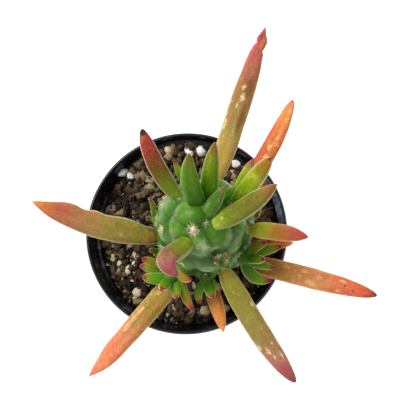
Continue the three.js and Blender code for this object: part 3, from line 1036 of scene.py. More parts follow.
    def build(self) -> None:
        """Makes the bed and every kind of grain on it."""
        self.bed()
        rng = random.Random(self.seed)
        chips, small = self.source_grains()
        bark = [[*chip, rng.uniform(*self.bark_tone)] for chip in chips]
        crumbs = self.scattered(self.crumbs, self.crumb_size, rng)
        crumbs = [[*crumb, rng.betavariate(*self.crumb_tone)] for crumb in crumbs]
        pebbles = [[pebble.x, pebble.y, pebble.size, pebble.tone] for pebble in self.pebbles]
        bits = self.scattered(self.perlite_crumbs, self.perlite_size, rng) + small
        bits = [[*bit, rng.choice(self.perlite_tones)] for bit in bits]
        dark, pale = self.bark.build(), self.perlite.build()
        kinds = ((bark, dark), (crumbs, dark), (pebbles, pale), (bits, pale))
        for layer, (grains, finish) in zip(self.layers, kinds):
            recipe = grain_recipe(layer.shape, layer.lumps, layer.ripple, layer.seed)
            settle(recipe.grow(layer.piece, self.seats(grains, layer.lift), finish))


@dataclass(frozen=True)
class Areole:
    """A spot on the stem: degrees round it, millimetres above the soil, and how woolly it is."""

    turn: float
    rise: float
    wool: float = 1.0


@dataclass(frozen=True)
class WaxAndHighlight:
    """A pale patch on the stem, partly waxy bloom and partly a painted highlight: its middle, its half
    size in millimetres and its strength.
    """

    turn: float
    rise: float
    size: float
    strength: float


@dataclass(frozen=True)
class StemForm:
    """The shape of the leaning stem, with tubercles at its areoles.

    The areoles with no leaf wind down from the crown in a spiral, and thin_wool says by their
    number in it which have less wool.
    """

    bare_swells: tuple[Areole, ...] = (
        Areole(151, 56), Areole(176, 52), Areole(165, 68.5), Areole(-160, 65), Areole(-98, 65),
        Areole(-86, 51), Areole(-36, 58), Areole(-8, 59), Areole(96, 58), Areole(66, 48),
    )
    # Pale patches, partly wax and partly painted highlights on the tubercles.
    wax: tuple[WaxAndHighlight, ...] = (
        WaxAndHighlight(152, 52, 4.2, 0.9), WaxAndHighlight(140, 61, 2.5, 0.25), WaxAndHighlight(176, 50, 3.0, 0.45),
        WaxAndHighlight(-86, 66, 2.4, 0.8), WaxAndHighlight(-70, 64, 2.0, 0.7), WaxAndHighlight(-86, 50, 5.0, 0.42), WaxAndHighlight(-46, 43, 4.0, 0.9),
        WaxAndHighlight(-28, 60, 3.5, 0.6), WaxAndHighlight(96, 54, 4.4, 0.95), WaxAndHighlight(64, 47, 4.5, 0.9), WaxAndHighlight(-150, 50, 3.5, 0.5),
    )
    spiral_places: int = 38
    spiral_turn: float = 137.5
    spiral_top: float = 62.0
    spiral_step: float = 1.45
    spiral_room: float = 10.0
    thin_wool: Mapping[int, float] = field(default_factory=lambda: {4: 0.9, 7: 0.3, 9: 0.3})
    foot: tuple[float, float] = (7.8, -0.6)
    lean: tuple[float, float] = (0.075, -0.008)
    soil_line: float = 66.5
    neck_radius: float = 15.0
    girth: float = 18.0
    shoulder: float = 30.0
    height: float = 71.0
    buried: float = 26.0
    bare_neck: float = 3.0
    tubercle_height: float = 3.0
    half_width: float = 6.2
    half_length: float = 8.2
    below_areole: float = 3.6
    crease_round: float = 0.5
    crease_width: float = 0.7

    def axis(self, rise: np.ndarray) -> np.ndarray:
        """The middle line at each rise above the soil."""
        x = self.foot[0] + self.lean[0] * rise
        return np.stack([x, self.foot[1] + self.lean[1] * rise, self.soil_line + rise], axis=-1)

    def radius(self, rise: np.ndarray) -> np.ndarray:
        """The radius under the tubercles.

        Args:
            rise: Millimetres above the soil.

        Returns:
            The radius at each rise.
        """
        below = self.neck_radius * np.sqrt(np.clip(1 - (rise / self.buried) ** 2, 0, None))
        swell = np.sin(np.clip(rise / self.shoulder, 0, 1) * np.pi / 2)
        trunk = self.neck_radius + (self.girth - self.neck_radius) * swell
        dome = np.clip((rise - self.shoulder) / (self.height - self.shoulder), 0, None)
        top = self.girth * np.sqrt(np.clip(1 - dome**2, 0, None))
        return np.where(rise < 0, below, np.where(rise < self.shoulder, trunk, top))

    def smooth(self, turn: np.ndarray, rise: np.ndarray) -> tuple[np.ndarray, np.ndarray, np.ndarray]:
        """The smooth surface under the tubercles.

        Args:
            turn: Degrees round the stem.
            rise: Millimetres above the soil.

        Returns:
            The point, the way up the surface and the way out of it.
        """
        turn, rise = np.broadcast_arrays(np.asarray(turn, float), np.asarray(rise, float))
        angle = np.radians(turn)
        out = np.stack([np.cos(angle), np.sin(angle), np.zeros_like(angle)], axis=-1)

        def place(height: np.ndarray) -> np.ndarray:
            """The surface point at a rise."""
            return self.axis(height) + out * self.radius(height)[..., None]

        along = unit(place(np.minimum(rise + 0.05, self.height)) - place(rise - 0.05))
        normal = unit(np.cross(np.cross(UP, out), along))
        return place(rise), along, normal


class TubercledStem:
    """The stem's form with the tubercles of all its areoles."""

    def __init__(self, form: StemForm, held: Sequence[Areole]) -> None:
        """Finds the bare areoles between the held ones.

        Args:
            form: The smooth form.
            held: The areoles that hold a leaf or a shoot.
        """
        self.form = form
        self.bare: list[Areole] = []
        for k in range(form.spiral_places):
            rise = form.spiral_top - form.spiral_step * k
            areole = Areole(form.spiral_turn * k, rise, form.thin_wool.get(k, 1.0))
            here = form.smooth(areole.turn, areole.rise)[0]
            others = [form.smooth(other.turn, other.rise)[0] for other in [*held, *self.bare]]
            if min(float(np.linalg.norm(other - here)) for other in others) >= form.spiral_room:
                self.bare.append(areole)
        every = [*held, *self.bare]
        self.count = len(every)
        below = [Areole(spot.turn, spot.rise - form.below_areole) for spot in every]
        turns = np.array([spot.turn for spot in [*below, *form.bare_swells]])
        rises = np.array([spot.rise for spot in [*below, *form.bare_swells]])
        self.middles, self.ups, _ = form.smooth(turns, rises)

    def reach(self, points: np.ndarray) -> np.ndarray:
        """How high each tubercle's own cap stands.

        Args:
            points: Points of the smooth surface.

        Returns:
            A height for each point and tubercle, negative past its foot.
        """
        form = self.form
        offset = points[..., None, :] - self.middles
        along = np.einsum("...i,...i->...", offset, self.ups)
        across = np.linalg.norm(offset - along[..., None] * self.ups, axis=-1)
        share = (along / form.half_length) ** 2 + (across / form.half_width) ** 2
        return form.tubercle_height * (1 - share)

    def lift(self, points: np.ndarray) -> np.ndarray:
        """How far the tubercles of the areoles raise the surface at each point."""
        return np.clip(self.reach(points)[..., : self.count].max(axis=-1), 0, None)

    def relief(self, points: np.ndarray) -> tuple[np.ndarray, np.ndarray]:
        """The finished relief, with the bare swells and rounded creases.

        Args:
            points: Points of the smooth surface.

        Returns:
            How far the surface is raised, and how deep in a crease it lies from 0 to 1.
        """
        caps = self.reach(points)
        ease = self.form.crease_round
        raised = ease * np.log1p(np.exp(np.clip(caps / ease, -40, None)).sum(axis=-1))
        second, first = np.moveaxis(np.sort(caps, axis=-1)[..., -2:], -1, 0)
        near = np.exp(-((first - np.maximum(second, 0)) / self.form.crease_width))
        return raised, np.clip(near, 0, 1)

    def place(
        self, areole: Areole, grow: float = 0.0, finished: bool = False
    ) -> tuple[np.ndarray, np.ndarray, np.ndarray]:
        """A point of the surface.

        Args:
            areole: Where on the stem.
            grow: How far the point is moved out.
            finished: Whether the bare swells and the rounded creases count too.

        Returns:
            The point, the way up the surface and the way out of it.
        """
        point, along, normal = self.form.smooth(areole.turn, areole.rise)
        above = min(max(areole.rise / self.form.bare_neck, 0.0), 1.0)
        lift = self.relief(point)[0] if finished else self.lift(point)
        return point + normal * (lift * above + grow), along, normal


@dataclass(frozen=True)
class StemSkin:
    """Glossy green skin, painted paler towards the tubercles' tops as painted light and darker in their
    creases as painted shade, pale in patches that are partly wax and partly painted highlights, and
    dusty low down.
    """

    painted_crease_shade: str = "#143404"
    flank: str = "#2f5f0a"
    crown: str = "#467414"
    bloom_and_highlight: str = "#8cac58"
    scurf: str = "#b8c2a0"
    wax: str = "#c2d0ac"

    def build(self, soil_line: float) -> bpy.types.Material:
        """The material.

        Args:
            soil_line: The height of the soil, where scurf gathers.

        Returns:
            The material.
        """
        surface = Surface("stem_skin")
        crest = surface.field("crest")
        cloud = surface.noise(surface.place, 0.16, 3.0, 0.55)
        mottle = surface.noise(surface.place, 0.9, 4.0, 0.6)
        fine = surface.cells(surface.place, 3.2)
        # Paler towards the tubercles' tops, as painted light; the pale colour over the highest parts is
        # partly bloom and partly a painted highlight.
        raised = surface.ease(crest + (mottle - 0.5) * 0.4, 0.1, 0.9)
        colour = surface.mix(raised, self.flank, self.crown)
        bloom_and_highlight = surface.ease(crest + (cloud - 0.5) * 2.4 + (mottle - 0.5) * 0.6, 0.7, 1.5)
        colour = surface.mix(bloom_and_highlight * 0.5, colour, self.bloom_and_highlight)
        # Pale patches, partly wax and partly painted highlights.
        patchy = surface.field("wax") + (mottle - 0.5) * 1.1 + (cloud - 0.5) * 0.6
        colour = surface.mix(surface.ease(patchy, 0.25, 0.95) * 0.7, colour, self.wax)
        # Darker in the creases between the tubercles: painted shade.
        crease = surface.ease(surface.field("crease") + (mottle - 0.5) * 0.5, 0.1, 1.0)
        colour = surface.mix(crease * 0.5, colour, self.painted_crease_shade)
        low = 1.0 - surface.ease(surface.height(), soil_line + 6.0, soil_line + 34.0)
        scurf = low * surface.ease(mottle, 0.46, 0.66)
        colour = surface.mix(scurf * 0.45, colour, self.scurf)
        specks = surface.specks(surface.place, 0.75, 0.12)
        colour = surface.mix(specks * 0.45, colour, self.scurf)
        colour = surface.shade(colour, 0.86 + mottle * 0.28)
        return surface.finish(
            {
                "Base Color": colour,
                "Roughness": 0.3 + mottle * 0.14 + scurf * 0.3,
                "Normal": surface.bump(fine * 0.35 + mottle, 0.09, 0.6),
                "Specular IOR Level": 0.2,
                "Subsurface Weight": 0.08,
                "Subsurface Radius": (0.6, 1.0, 0.2),
                "Subsurface Scale": 0.001,
            }
        )


@dataclass
class CactusStem:
    """The stem, from its buried foot to its crown."""

    body: TubercledStem
    sides: int = 208
    buried_rings: int = 10
    trunk_rings: int = 72
    dome_rings: int = 96
    lumps: float = 0.22
    lump_size: float = 5.0
    seed: int = 2
    finish: StemSkin = field(default_factory=StemSkin)

    def build(self) -> None:
        """Makes the stem in place of its solid."""
        form = self.body.form
        low = -form.buried * np.sin(np.linspace(0.96, 0.08, self.buried_rings) * np.pi / 2)
        trunk = np.linspace(0, form.shoulder, self.trunk_rings, endpoint=False)
        dome = np.sin(np.linspace(0, 0.985, self.dome_rings) * np.pi / 2)
        top = form.shoulder + (form.height - form.shoulder) * dome
        rises = np.concatenate([low, trunk, top])[:, None]
        turns = np.linspace(0, 360, self.sides, endpoint=False)[None, :]
        points, _, normals = form.smooth(turns, rises)
        lift, crease = self.body.relief(points)
        lift = lift * np.clip(rises / form.bare_neck, 0, 1)
        rings = points + normals * lift[..., None]
        crest = lift / form.tubercle_height
        foot = form.axis(np.array(-form.buried))
        apex = form.axis(np.array(form.height)) + UP * lift[-1].mean()
        # The pale patches, partly wax and partly painted highlights.
        wax = np.zeros(crest.shape)
        for patch in form.wax:
            middle = form.smooth(np.array(patch.turn), np.array(patch.rise))[0]
            away = np.linalg.norm(points - middle, axis=-1) / patch.size
            wax = np.maximum(wax, patch.strength * np.exp(-(away**2)))
        shell = Shell.over_rings(rings, foot, apex, {"crest": crest, "crease": crease, "wax": wax})
        shell.roughen(self.lumps, self.lump_size, self.seed)
        piece = shell.mesh("stem_skin")
        piece.data.materials.append(self.finish.build(form.soil_line))
        settle(piece, ["stem"])


@dataclass(frozen=True)
class FibreFinish:
    """Pale plant fibre: wool, or bristles that darken to their tips."""

    name: str
    stops: Stops
    rough: float = 0.85

    def build(self) -> bpy.types.Material:
        """Makes the material.

        Returns:
            The material.
        """
        surface = Surface(self.name)
        cloud = surface.noise(surface.place, 1.4, 4.0, 0.7)
        colour = surface.ramp(surface.field("tone") + (cloud - 0.5) * 0.35, self.stops)
        relief = surface.bump(surface.noise(surface.place, 5.0, 3.0, 0.7), 0.2, 0.8)
        return surface.finish(
            {
                "Base Color": colour,
                "Roughness": self.rough,
                "Normal": relief,
                "Sheen Weight": 0.2,
                "Sheen Roughness": 0.5,
            }
        )


@dataclass
class AreoleWool:
    """The cushions of wool and the bristles at the areoles."""

    body: TubercledStem
    seats: Sequence[Areole]
    radius: float = 1.7
    proud: float = 0.7
    sunk: float = 0.3
    cushion_size: tuple[float, float] = (0.6, 0.72)
    cushion_tone: tuple[float, float] = (0.05, 0.35)
    cushion_rings: int = 9
    cushion_sides: int = 18
    cushion_lumps: float = 0.5
    lump_size: float = 0.8
    hairs: int = 130
    hair_length: tuple[float, float] = (0.9, 2.1)
    hair_spread: float = 1.5
    bristles: int = 7
    bristle_length: tuple[float, float] = (1.8, 3.6)
    bristle_spread: float = 1.1
    hair_tone: tuple[float, float] = (0.2, 1.0)
    seed: int = 11
    wool: FibreFinish = FibreFinish("areole_wool", fade("0#b39b5c 30#ecdfae 65#fbf4d4 100#fffcea"))
    horn: FibreFinish = FibreFinish("areole_bristles", fade("0#8a6a3c 50#d9c592 100#f3ead0"), 0.5)

    def cushion(self, areole: Areole, rng: random.Random) -> Shell:
        """One low lumpy cushion.

        Args:
            areole: Where it sits.
            rng: The seeded generator.

        Returns:
            The cushion's shell.
        """
        seat, along, normal = self.body.place(areole, -self.sunk, finished=True)
        across = np.cross(along, normal)
        lean = np.linspace(0.1, 0.95, self.cushion_rings)[:, None] * np.pi
        spin = np.linspace(0, 2 * np.pi, self.cushion_sides, endpoint=False)[None, :]
        size = self.radius * areole.wool * rng.uniform(*self.cushion_size)
        flat = size * np.sin(lean)
        rise = size * self.proud * np.cos(lean) + 0 * spin
        ring = np.cos(spin)[..., None] * across + np.sin(spin)[..., None] * along
        rings = seat + flat[..., None] * ring
        rings = rings + rise[..., None] * normal
        tone = np.full(rings.shape[:2], rng.uniform(*self.cushion_tone))
        poles = (seat + normal * size * self.proud * side for side in (1, -1))
        shell = Shell.over_rings(rings, *poles, {"tone": tone})
        shell.roughen(self.cushion_lumps, self.lump_size, rng.randrange(50))
        return shell

    def fringe(
        self, count: int, lengths: tuple[float, float], spread: float, rng: random.Random
    ) -> Shell:
        """Seats for the hairs of every areole.

        Args:
            count: How many hairs an areole has.
            lengths: The shortest and longest.
            spread: How far they lean from the surface's own direction.
            rng: The seeded generator.

        Returns:
            The seats, with the aim, size and tone of each hair.
        """
        points, aims, sizes, tones = [], [], [], []
        for areole in self.seats:
            seat, along, normal = self.body.place(areole, -self.sunk, finished=True)
            across = np.cross(along, normal)
            for _ in range(round(count * max(areole.wool, 0.5) ** 2)):
                angle = rng.uniform(0, 2 * math.pi)
                reach = math.sqrt(rng.random())
                side = math.cos(angle) * across + math.sin(angle) * along
                out = side * reach * self.radius * areole.wool * 0.8
                points.append(seat + out + normal * self.proud * 0.4)
                aims.append(normal + side * reach * spread + along * 0.25)
                sizes.append(rng.uniform(*lengths) * max(areole.wool, 0.8))
                tones.append(rng.uniform(*self.hair_tone))
        fields = {"aim": unit(np.array(aims)), "size": np.array(sizes), "tone": np.array(tones)}
        return Shell(np.array(points), [], fields)

    def build(self) -> None:
        """Makes the cushions, the wool hairs and the bristles."""
        rng = random.Random(self.seed)
        wool = self.wool.build()
        piece = Shell.joined([self.cushion(seat, rng) for seat in self.seats]).mesh("areole_cushions")
        piece.data.materials.append(wool)
        settle(piece)
        hairs = hair_recipe("wool_hair", thickness=0.032, curl=0.45, seed=4)
        seats = self.fringe(self.hairs, self.hair_length, self.hair_spread, rng)
        settle(hairs.grow("areole_wool", seats, wool))
        spikes = hair_recipe("bristle", thickness=0.045, curl=0.08, seed=8)
        seats = self.fringe(self.bristles, self.bristle_length, self.bristle_spread, rng)
        settle(spikes.grow("areole_bristles", seats, self.horn.build()))


@dataclass(frozen=True)
class Taper:
    """How a blade's girth runs from its root to its tip."""

    neck: float = 0.5
    full_at: float = 0.3
    begins: float = 0.45
    power: float = 2.4
    ease: float = 0.8

    def girth(self, t: np.ndarray) -> np.ndarray:
        """How wide the blade is.

        Args:
            t: Shares of the length.

        Returns:
            The share of the full width at each.
        """
        swell = np.sin(np.minimum(1, t / self.full_at) * np.pi / 2)
        narrowing = np.clip((t - self.begins) / (1 - self.begins), 0, 1)
        rounding = np.sqrt(np.clip((t + 0.004) / 0.05, 0, 1))
        full = (self.neck + (1 - self.neck) * swell) * rounding
        return full * (1 - narrowing**self.power) ** self.ease


AWL = Taper()
BLUNT = Taper(begins=0.4, power=2.6, ease=0.55)
CROWN = Taper(neck=0.72, full_at=0.22, begins=0.25, power=1.9, ease=0.72)
STOUT = Taper(neck=0.56, full_at=0.42, begins=0.55, power=2.6, ease=0.62)
LEAFLET = Taper(neck=0.6, begins=0.4, power=2.8, ease=0.6)


@dataclass(frozen=True)
class BladeForm:
    """The section of a leaf and how finely it is cut."""

    depth: float = 0.78
    flat_top: float = 0.8
    channel: float = 0.16
    sides: int = 40
    stations: int = 84
    crowding: float = 1.25
    root_depth: float = 2.2
    dent: float = 0.022
    dent_size: float = 0.8


@dataclass(frozen=True)
class Swell:
    """A place where one edge stands out or in: share of the length, side, millimetres, reach."""

    along: float
    side: int
    out: float
    reach: float


class Blemish(Enum):
    """What a patch on a leaf's skin is."""

    PALE = "pale"
    DARK = "dark"
    DRY = "dry"
    FLUSH = "flush"
    BROWN = "brown"


@dataclass(frozen=True)
class Mark:
    """A patch on the skin: share of the length, place across from -1 to 1, and its half sizes."""

    kind: Blemish
    along: float
    across: float
    length: float
    width: float
    strength: float = 1.0


@dataclass(frozen=True)
class BladeSpec:
    """One blade: its tip, bow to the left, sag below the chord, width and where the bow peaks."""

    tip: Place
    bow: float
    sag: float
    width: float
    peak: float = 0.5
    taper: Taper = AWL
    swells: tuple[Swell, ...] = ()
    marks: tuple[Mark, ...] = ()

    def skin(self, root: np.ndarray, form: BladeForm, tone: float, seed: int) -> Shell:
        """The blade's skin.

        Args:
            root: Where it starts.
            form: Its girth and section.
            tone: A number that the whole blade carries.
            seed: Picks its small dents.

        Returns:
            The closed shell, with its place along and across and its marks.
        """
        tip = np.array(self.tip)
        chord = tip - root
        length = float(np.linalg.norm(chord))
        side = unit(np.cross(UP, chord))
        up = unit(np.cross(chord, side))

        def centre(t: np.ndarray) -> np.ndarray:
            """The middle line.

            Args:
                t: Shares of the length.

            Returns:
                The point at each.
            """
            skewed = np.clip(t, 0, None) ** (math.log(0.5) / math.log(self.peak))
            swing = (4 * skewed * (1 - skewed))[..., None]
            return root + chord * t[..., None] + side * self.bow * swing - up * self.sag * swing

        steps = np.arange(form.stations) / form.stations
        t = 1 - (1 - steps) ** form.crowding
        along = unit(centre(t + 0.01) - centre(t - 0.01))
        across = unit(side - along * (along @ side)[:, None])
        above = np.cross(along, across)
        angle = np.linspace(0, 2 * np.pi, form.sides, endpoint=False)
        edge, lift = -np.cos(angle), np.sin(angle)
        channel = form.channel * np.exp(-((edge / 0.34) ** 2))
        lift = np.where(lift > 0, form.flat_top * (lift - channel), lift)
        half = self.taper.girth(t)[:, None] * self.width / 2
        wide = half * edge[None, :]
        for swell in self.swells:
            bulge = swell.out * np.exp(-(((t - swell.along) / swell.reach) ** 2))[:, None]
            wide = wide + bulge * swell.side * np.clip(edge * swell.side, 0, 1)[None, :]
        rings = centre(t)[:, None, :] + across[:, None, :] * wide[..., None]
        rings = rings + above[:, None, :] * (half * form.depth * lift[None, :])[..., None]
        t_grid, edge_grid = np.broadcast_arrays(t[:, None], edge[None, :])
        fields = {"along": t_grid, "edge": edge_grid, "tone": np.full(edge_grid.shape, tone)}
        for kind in Blemish:
            fields[kind.value] = self.stain(kind, t_grid, edge_grid, length, half)
        ends = centre(np.array([0.0, 1.0]))
        shell = Shell.over_rings(rings, ends[0], ends[1], fields)
        hold = np.clip(6 * (1 - np.concatenate([[0.0], t_grid.ravel(), [1.0]])), 0, 1)
        shell.roughen(form.dent * self.width, form.dent_size * self.width, seed, hold)
        return shell

    def stain(
        self, kind: Blemish, t: np.ndarray, edge: np.ndarray, length: float, half: np.ndarray
    ) -> np.ndarray:
        """How strongly the marks of a kind show at each point.

        Args:
            kind: The kind.
            t: The share of the length.
            edge: The place across.
            length: The blade's length.
            half: Half the width at each station.

        Returns:
            Numbers from 0 to about 1.
        """
        stain = np.zeros(t.shape)
        for mark in [mark for mark in self.marks if mark.kind is kind]:
            off = ((t - mark.along) * length / mark.length) ** 2
            off = off + ((edge - mark.across) * half / mark.width) ** 2
            stain = np.maximum(stain, mark.strength * np.exp(-off))
        return stain


@dataclass(frozen=True)
class LeafSkin:
    """Satin leaf skin that changes colour along the leaf, with blotches, specks, marks, and pale edges
    that are partly a paler margin and partly painted rim light.
    """

    stops: Stops
    margin_and_rim_light: str = "#d8c79a"
    margin_and_rim_light_strength: float = 0.25
    blotch: str = "#ecd88c"
    blotches: float = 0.2
    ruddy: str = "#b5603f"
    flush: float = 0.2
    dark: str = "#3a2620"
    dry: str = "#b8742c"
    crimson: str = "#b03858"
    brown: str = "#7c4a20"
    speck: str = "#efe6bf"
    rough: float = 0.4

    def build(self, name: str) -> bpy.types.Material:
        """The material.

        Args:
            name: The leaf's name.

        Returns:
            The material.
        """
        surface = Surface(f"{name}_skin")
        along = surface.field("along")
        edge = abs(surface.field("edge"))
        cloud = surface.noise(surface.place, 0.22, 3.0, 0.55)
        mottle = surface.noise(surface.place, 0.7, 5.0, 0.65)
        fine = surface.noise(surface.place, 2.0, 4.0, 0.7)
        drift = (cloud - 0.5) * 0.18 + (mottle - 0.5) * 0.14
        colour = surface.ramp(along + drift, self.stops)
        flush = surface.ease(mottle * 0.6 + cloud * 0.5, 0.48, 0.72) * self.flush
        colour = surface.mix(flush, colour, self.ruddy)
        ragged = (mottle - 0.5) * 0.9 + (fine - 0.5) * 0.7
        spread = surface.noise(surface.place, 0.42, 4.0, 0.75) + (fine - 0.5) * 0.4
        colour = surface.mix(surface.ease(spread, 0.52, 0.72) * self.blotches, colour, self.blotch)
        for kind, tint, strength in (
            (Blemish.BROWN, self.brown, 0.62),
            (Blemish.DRY, self.dry, 0.75),
            (Blemish.FLUSH, self.crimson, 0.65),
            (Blemish.PALE, self.blotch, 0.72),
        ):
            stain = surface.field(kind.value)
            mask = surface.ease(stain + ragged, 0.25, 0.75) * surface.ease(stain, 0.04, 0.3)
            colour = surface.mix(mask * strength, colour, tint)
        specks = surface.specks(surface.place, 1.1, 0.14) * surface.ease(cloud, 0.4, 0.6)
        colour = surface.mix(specks * 0.45, colour, self.speck)
        # Pale edges, partly a paler margin and partly painted rim light.
        rim = surface.ease(edge + (mottle - 0.5) * 0.06, 0.86, 0.985)
        colour = surface.mix(rim * self.margin_and_rim_light_strength, colour, self.margin_and_rim_light)
        light = 0.72 + surface.ease(mottle, 0.3, 0.7) * 0.26 + surface.ease(fine, 0.35, 0.65) * 0.2
        colour = surface.shade(colour, light)
        dark = surface.ease(surface.field(Blemish.DARK.value) + ragged * 0.4, 0.3, 0.6)
        colour = surface.mix(dark * 0.9, colour, self.dark)
        relief = mottle + fine * 0.5 + surface.cells(surface.place, 2.6) * 0.3 - dark * 0.8
        return surface.finish(
            {
                "Base Color": colour,
                "Roughness": self.rough + mottle * 0.14 + dark * 0.3,
                "Normal": surface.bump(relief, 0.14, 0.6),
                "Specular IOR Level": 0.16,
                "Subsurface Weight": 0.08,
                "Subsurface Radius": (1.0, 0.6, 0.2),
                "Subsurface Scale": 0.001,
            }
        )


@dataclass(frozen=True)
class Leaf:
    """One awl-shaped leaf at its areole."""

    name: str
    areole: Areole
    spec: BladeSpec
    slot: str
    skin: LeafSkin
    start: Place | None = None

    def build(self, body: TubercledStem, seed: int) -> None:
        """Makes the leaf in place of its solid.

        Args:
            body: The stem that it grows on.
            seed: Picks its small dents.
        """
        form = BladeForm()
        root = body.place(self.areole, -form.root_depth)[0]
        if self.start is not None:
            root = np.array(self.start)
        piece = self.spec.skin(root, form, 0.0, seed).mesh(f"{self.name}_blade")
        piece.data.materials.append(self.skin.build(self.name))
        settle(piece, [self.name])


@dataclass(frozen=True)
class Leaflet:
    """A small leaf of a shoot: its blade, and its tone from 0 for green to 1 for orange."""

    spec: BladeSpec
    tone: float = 0.0
    start: Place | None = None


@dataclass(frozen=True)
class Shoot:
    """A bud that breaks from an areole with its bunch of small leaves."""

    name: str
    areole: Areole
    reach: float
    bud: float
    leaflets: tuple[Leaflet, ...]
    root_depth: float = 1.2
    core_along: float = 0.15
    core_rings: int = 14
    core_sides: int = 24
    core_lumps: float = 0.25
    lump_size: float = 1.4
    core_seed: int = 3
    first_seed: int = 60

    def core(self, body: TubercledStem) -> Shell:
        """The short bud that the leaflets stand on.

        Args:
            body: The stem.

        Returns:
            The closed shell.
        """
        foot, along, normal = body.place(self.areole, -self.root_depth)
        across = np.cross(along, normal)
        share = np.linspace(0.02, 0.98, self.core_rings)[:, None]
        spin = np.linspace(0, 2 * np.pi, self.core_sides, endpoint=False)[None, :]
        length = self.reach + self.bud + self.root_depth
        girth = self.bud * np.sqrt(np.clip(1 - share**3, 0, 1)) * np.where(share < 0.06, 0.7, 1.0)
        ring = np.cos(spin)[..., None] * across + np.sin(spin)[..., None] * along
        rings = foot + girth[..., None] * ring + (share * length + 0 * spin)[..., None] * normal
        grid = np.ones(rings.shape[:2])
        names = ["edge", "tone", *(kind.value for kind in Blemish)]
        fields = {"along": grid * self.core_along, **{name: grid * 0.0 for name in names}}
        shell = Shell.over_rings(rings, foot, foot + normal * length, fields)
        shell.roughen(self.core_lumps, self.lump_size, self.core_seed)
        return shell

    def build(self, body: TubercledStem, skin: bpy.types.Material) -> None:
        """Makes the shoot in place of its solid.

        Args:
            body: The stem that it grows on.
            skin: The leaflets' finish.
        """
        seat, _, normal = body.place(self.areole)
        middle = seat + normal * self.reach
        form = BladeForm(sides=22, stations=36)
        shells = [self.core(body)]
        for number, leaflet in enumerate(self.leaflets):
            start = middle if leaflet.start is None else np.array(leaflet.start)
            shells.append(leaflet.spec.skin(start, form, leaflet.tone, self.first_seed + number))
        piece = Shell.joined(shells).mesh(f"{self.name}_leaflets")
        piece.data.materials.append(skin)
        settle(piece, [self.name])


@dataclass(frozen=True)
class LeafletSkin:
    """Bright green young skin with crimson tips, turning orange on old leaflets, with pale edges that
    are partly a paler margin and partly painted rim light.
    """

    green: Stops = fade("0#39640a 45#568810 80#789618 89#9a5222 94#a01234 100#860a2c")
    orange: Stops = fade("0#4e6c0a 35#727410 65#925e18 87#a0381e 100#880e2a")
    margin_and_rim_light: str = "#d6e2a8"
    speck: str = "#e8efc8"

    def build(self) -> bpy.types.Material:
        """Makes the material.

        Returns:
            The material.
        """
        surface = Surface("leaflet_skin")
        along = surface.field("along")
        mottle = surface.noise(surface.place, 0.9, 4.0, 0.6)
        where = along + (mottle - 0.5) * 0.16
        green = surface.ramp(where, self.green)
        colour = surface.mix(surface.field("tone"), green, surface.ramp(where, self.orange))
        # Pale edges, partly a paler margin and partly painted rim light.
        rim = surface.ease(abs(surface.field("edge")) + (mottle - 0.5) * 0.1, 0.82, 0.98)
        colour = surface.mix(rim * 0.5, colour, self.margin_and_rim_light)
        specks = surface.specks(surface.place, 1.2, 0.12)
        colour = surface.mix(specks * 0.4, colour, self.speck)
        colour = surface.shade(colour, 0.85 + mottle * 0.3)
        relief = surface.bump(mottle + surface.cells(surface.place, 3.0) * 0.3, 0.08, 0.6)
        return surface.finish(
            {
                "Base Color": colour,
                "Roughness": 0.34 + mottle * 0.12,
                "Normal": relief,
                "Specular IOR Level": 0.16,
                "Subsurface Weight": 0.12,
                "Subsurface Radius": (0.6, 1.0, 0.2),
                "Subsurface Scale": 0.0008,
            }
        )


@dataclass(frozen=True)
class Viewpoint:
    """Where the photograph looks from, worked out from the pot's rim in its picture."""

    picture: int = 416
    rim_centre: tuple[float, float] = (185.2, 231.6)
    rim_pixels: float = 203.6
    rim_width: float = 90.0
    rim_height: float = 78.0
    distance: float = 330.0
    tilt: float = 9.0
    azimuth: float = -60.0
    film: float = 36.0

    def build(self) -> None:
        """Makes the camera and gives it to the scene."""
        scale = self.rim_width / self.rim_pixels
        tilt, azimuth = math.radians(self.tilt), math.radians(self.azimuth)
        flat = math.sin(tilt)
        back = Vector((flat * math.cos(azimuth), flat * math.sin(azimuth), math.cos(tilt)))
        right = (Vector((1, 0, 0)) - back * back.x).normalized()
        up = back.cross(right)
        off = [(side - self.picture / 2) * scale for side in self.rim_centre]
        place = Vector((0, 0, self.rim_height)) + back * self.distance - right * off[0] + up * off[1]
        data = bpy.data.cameras.new("view")
        data.sensor_width = self.film
        data.lens = self.film * self.distance / scale / self.picture
        data.clip_start = 0.01
        camera = add_object("view", data)
        turned = Matrix((right, up, back)).transposed().to_4x4()
        camera.matrix_world = Matrix.Translation(place * MM) @ turned
        bpy.context.scene.camera = camera


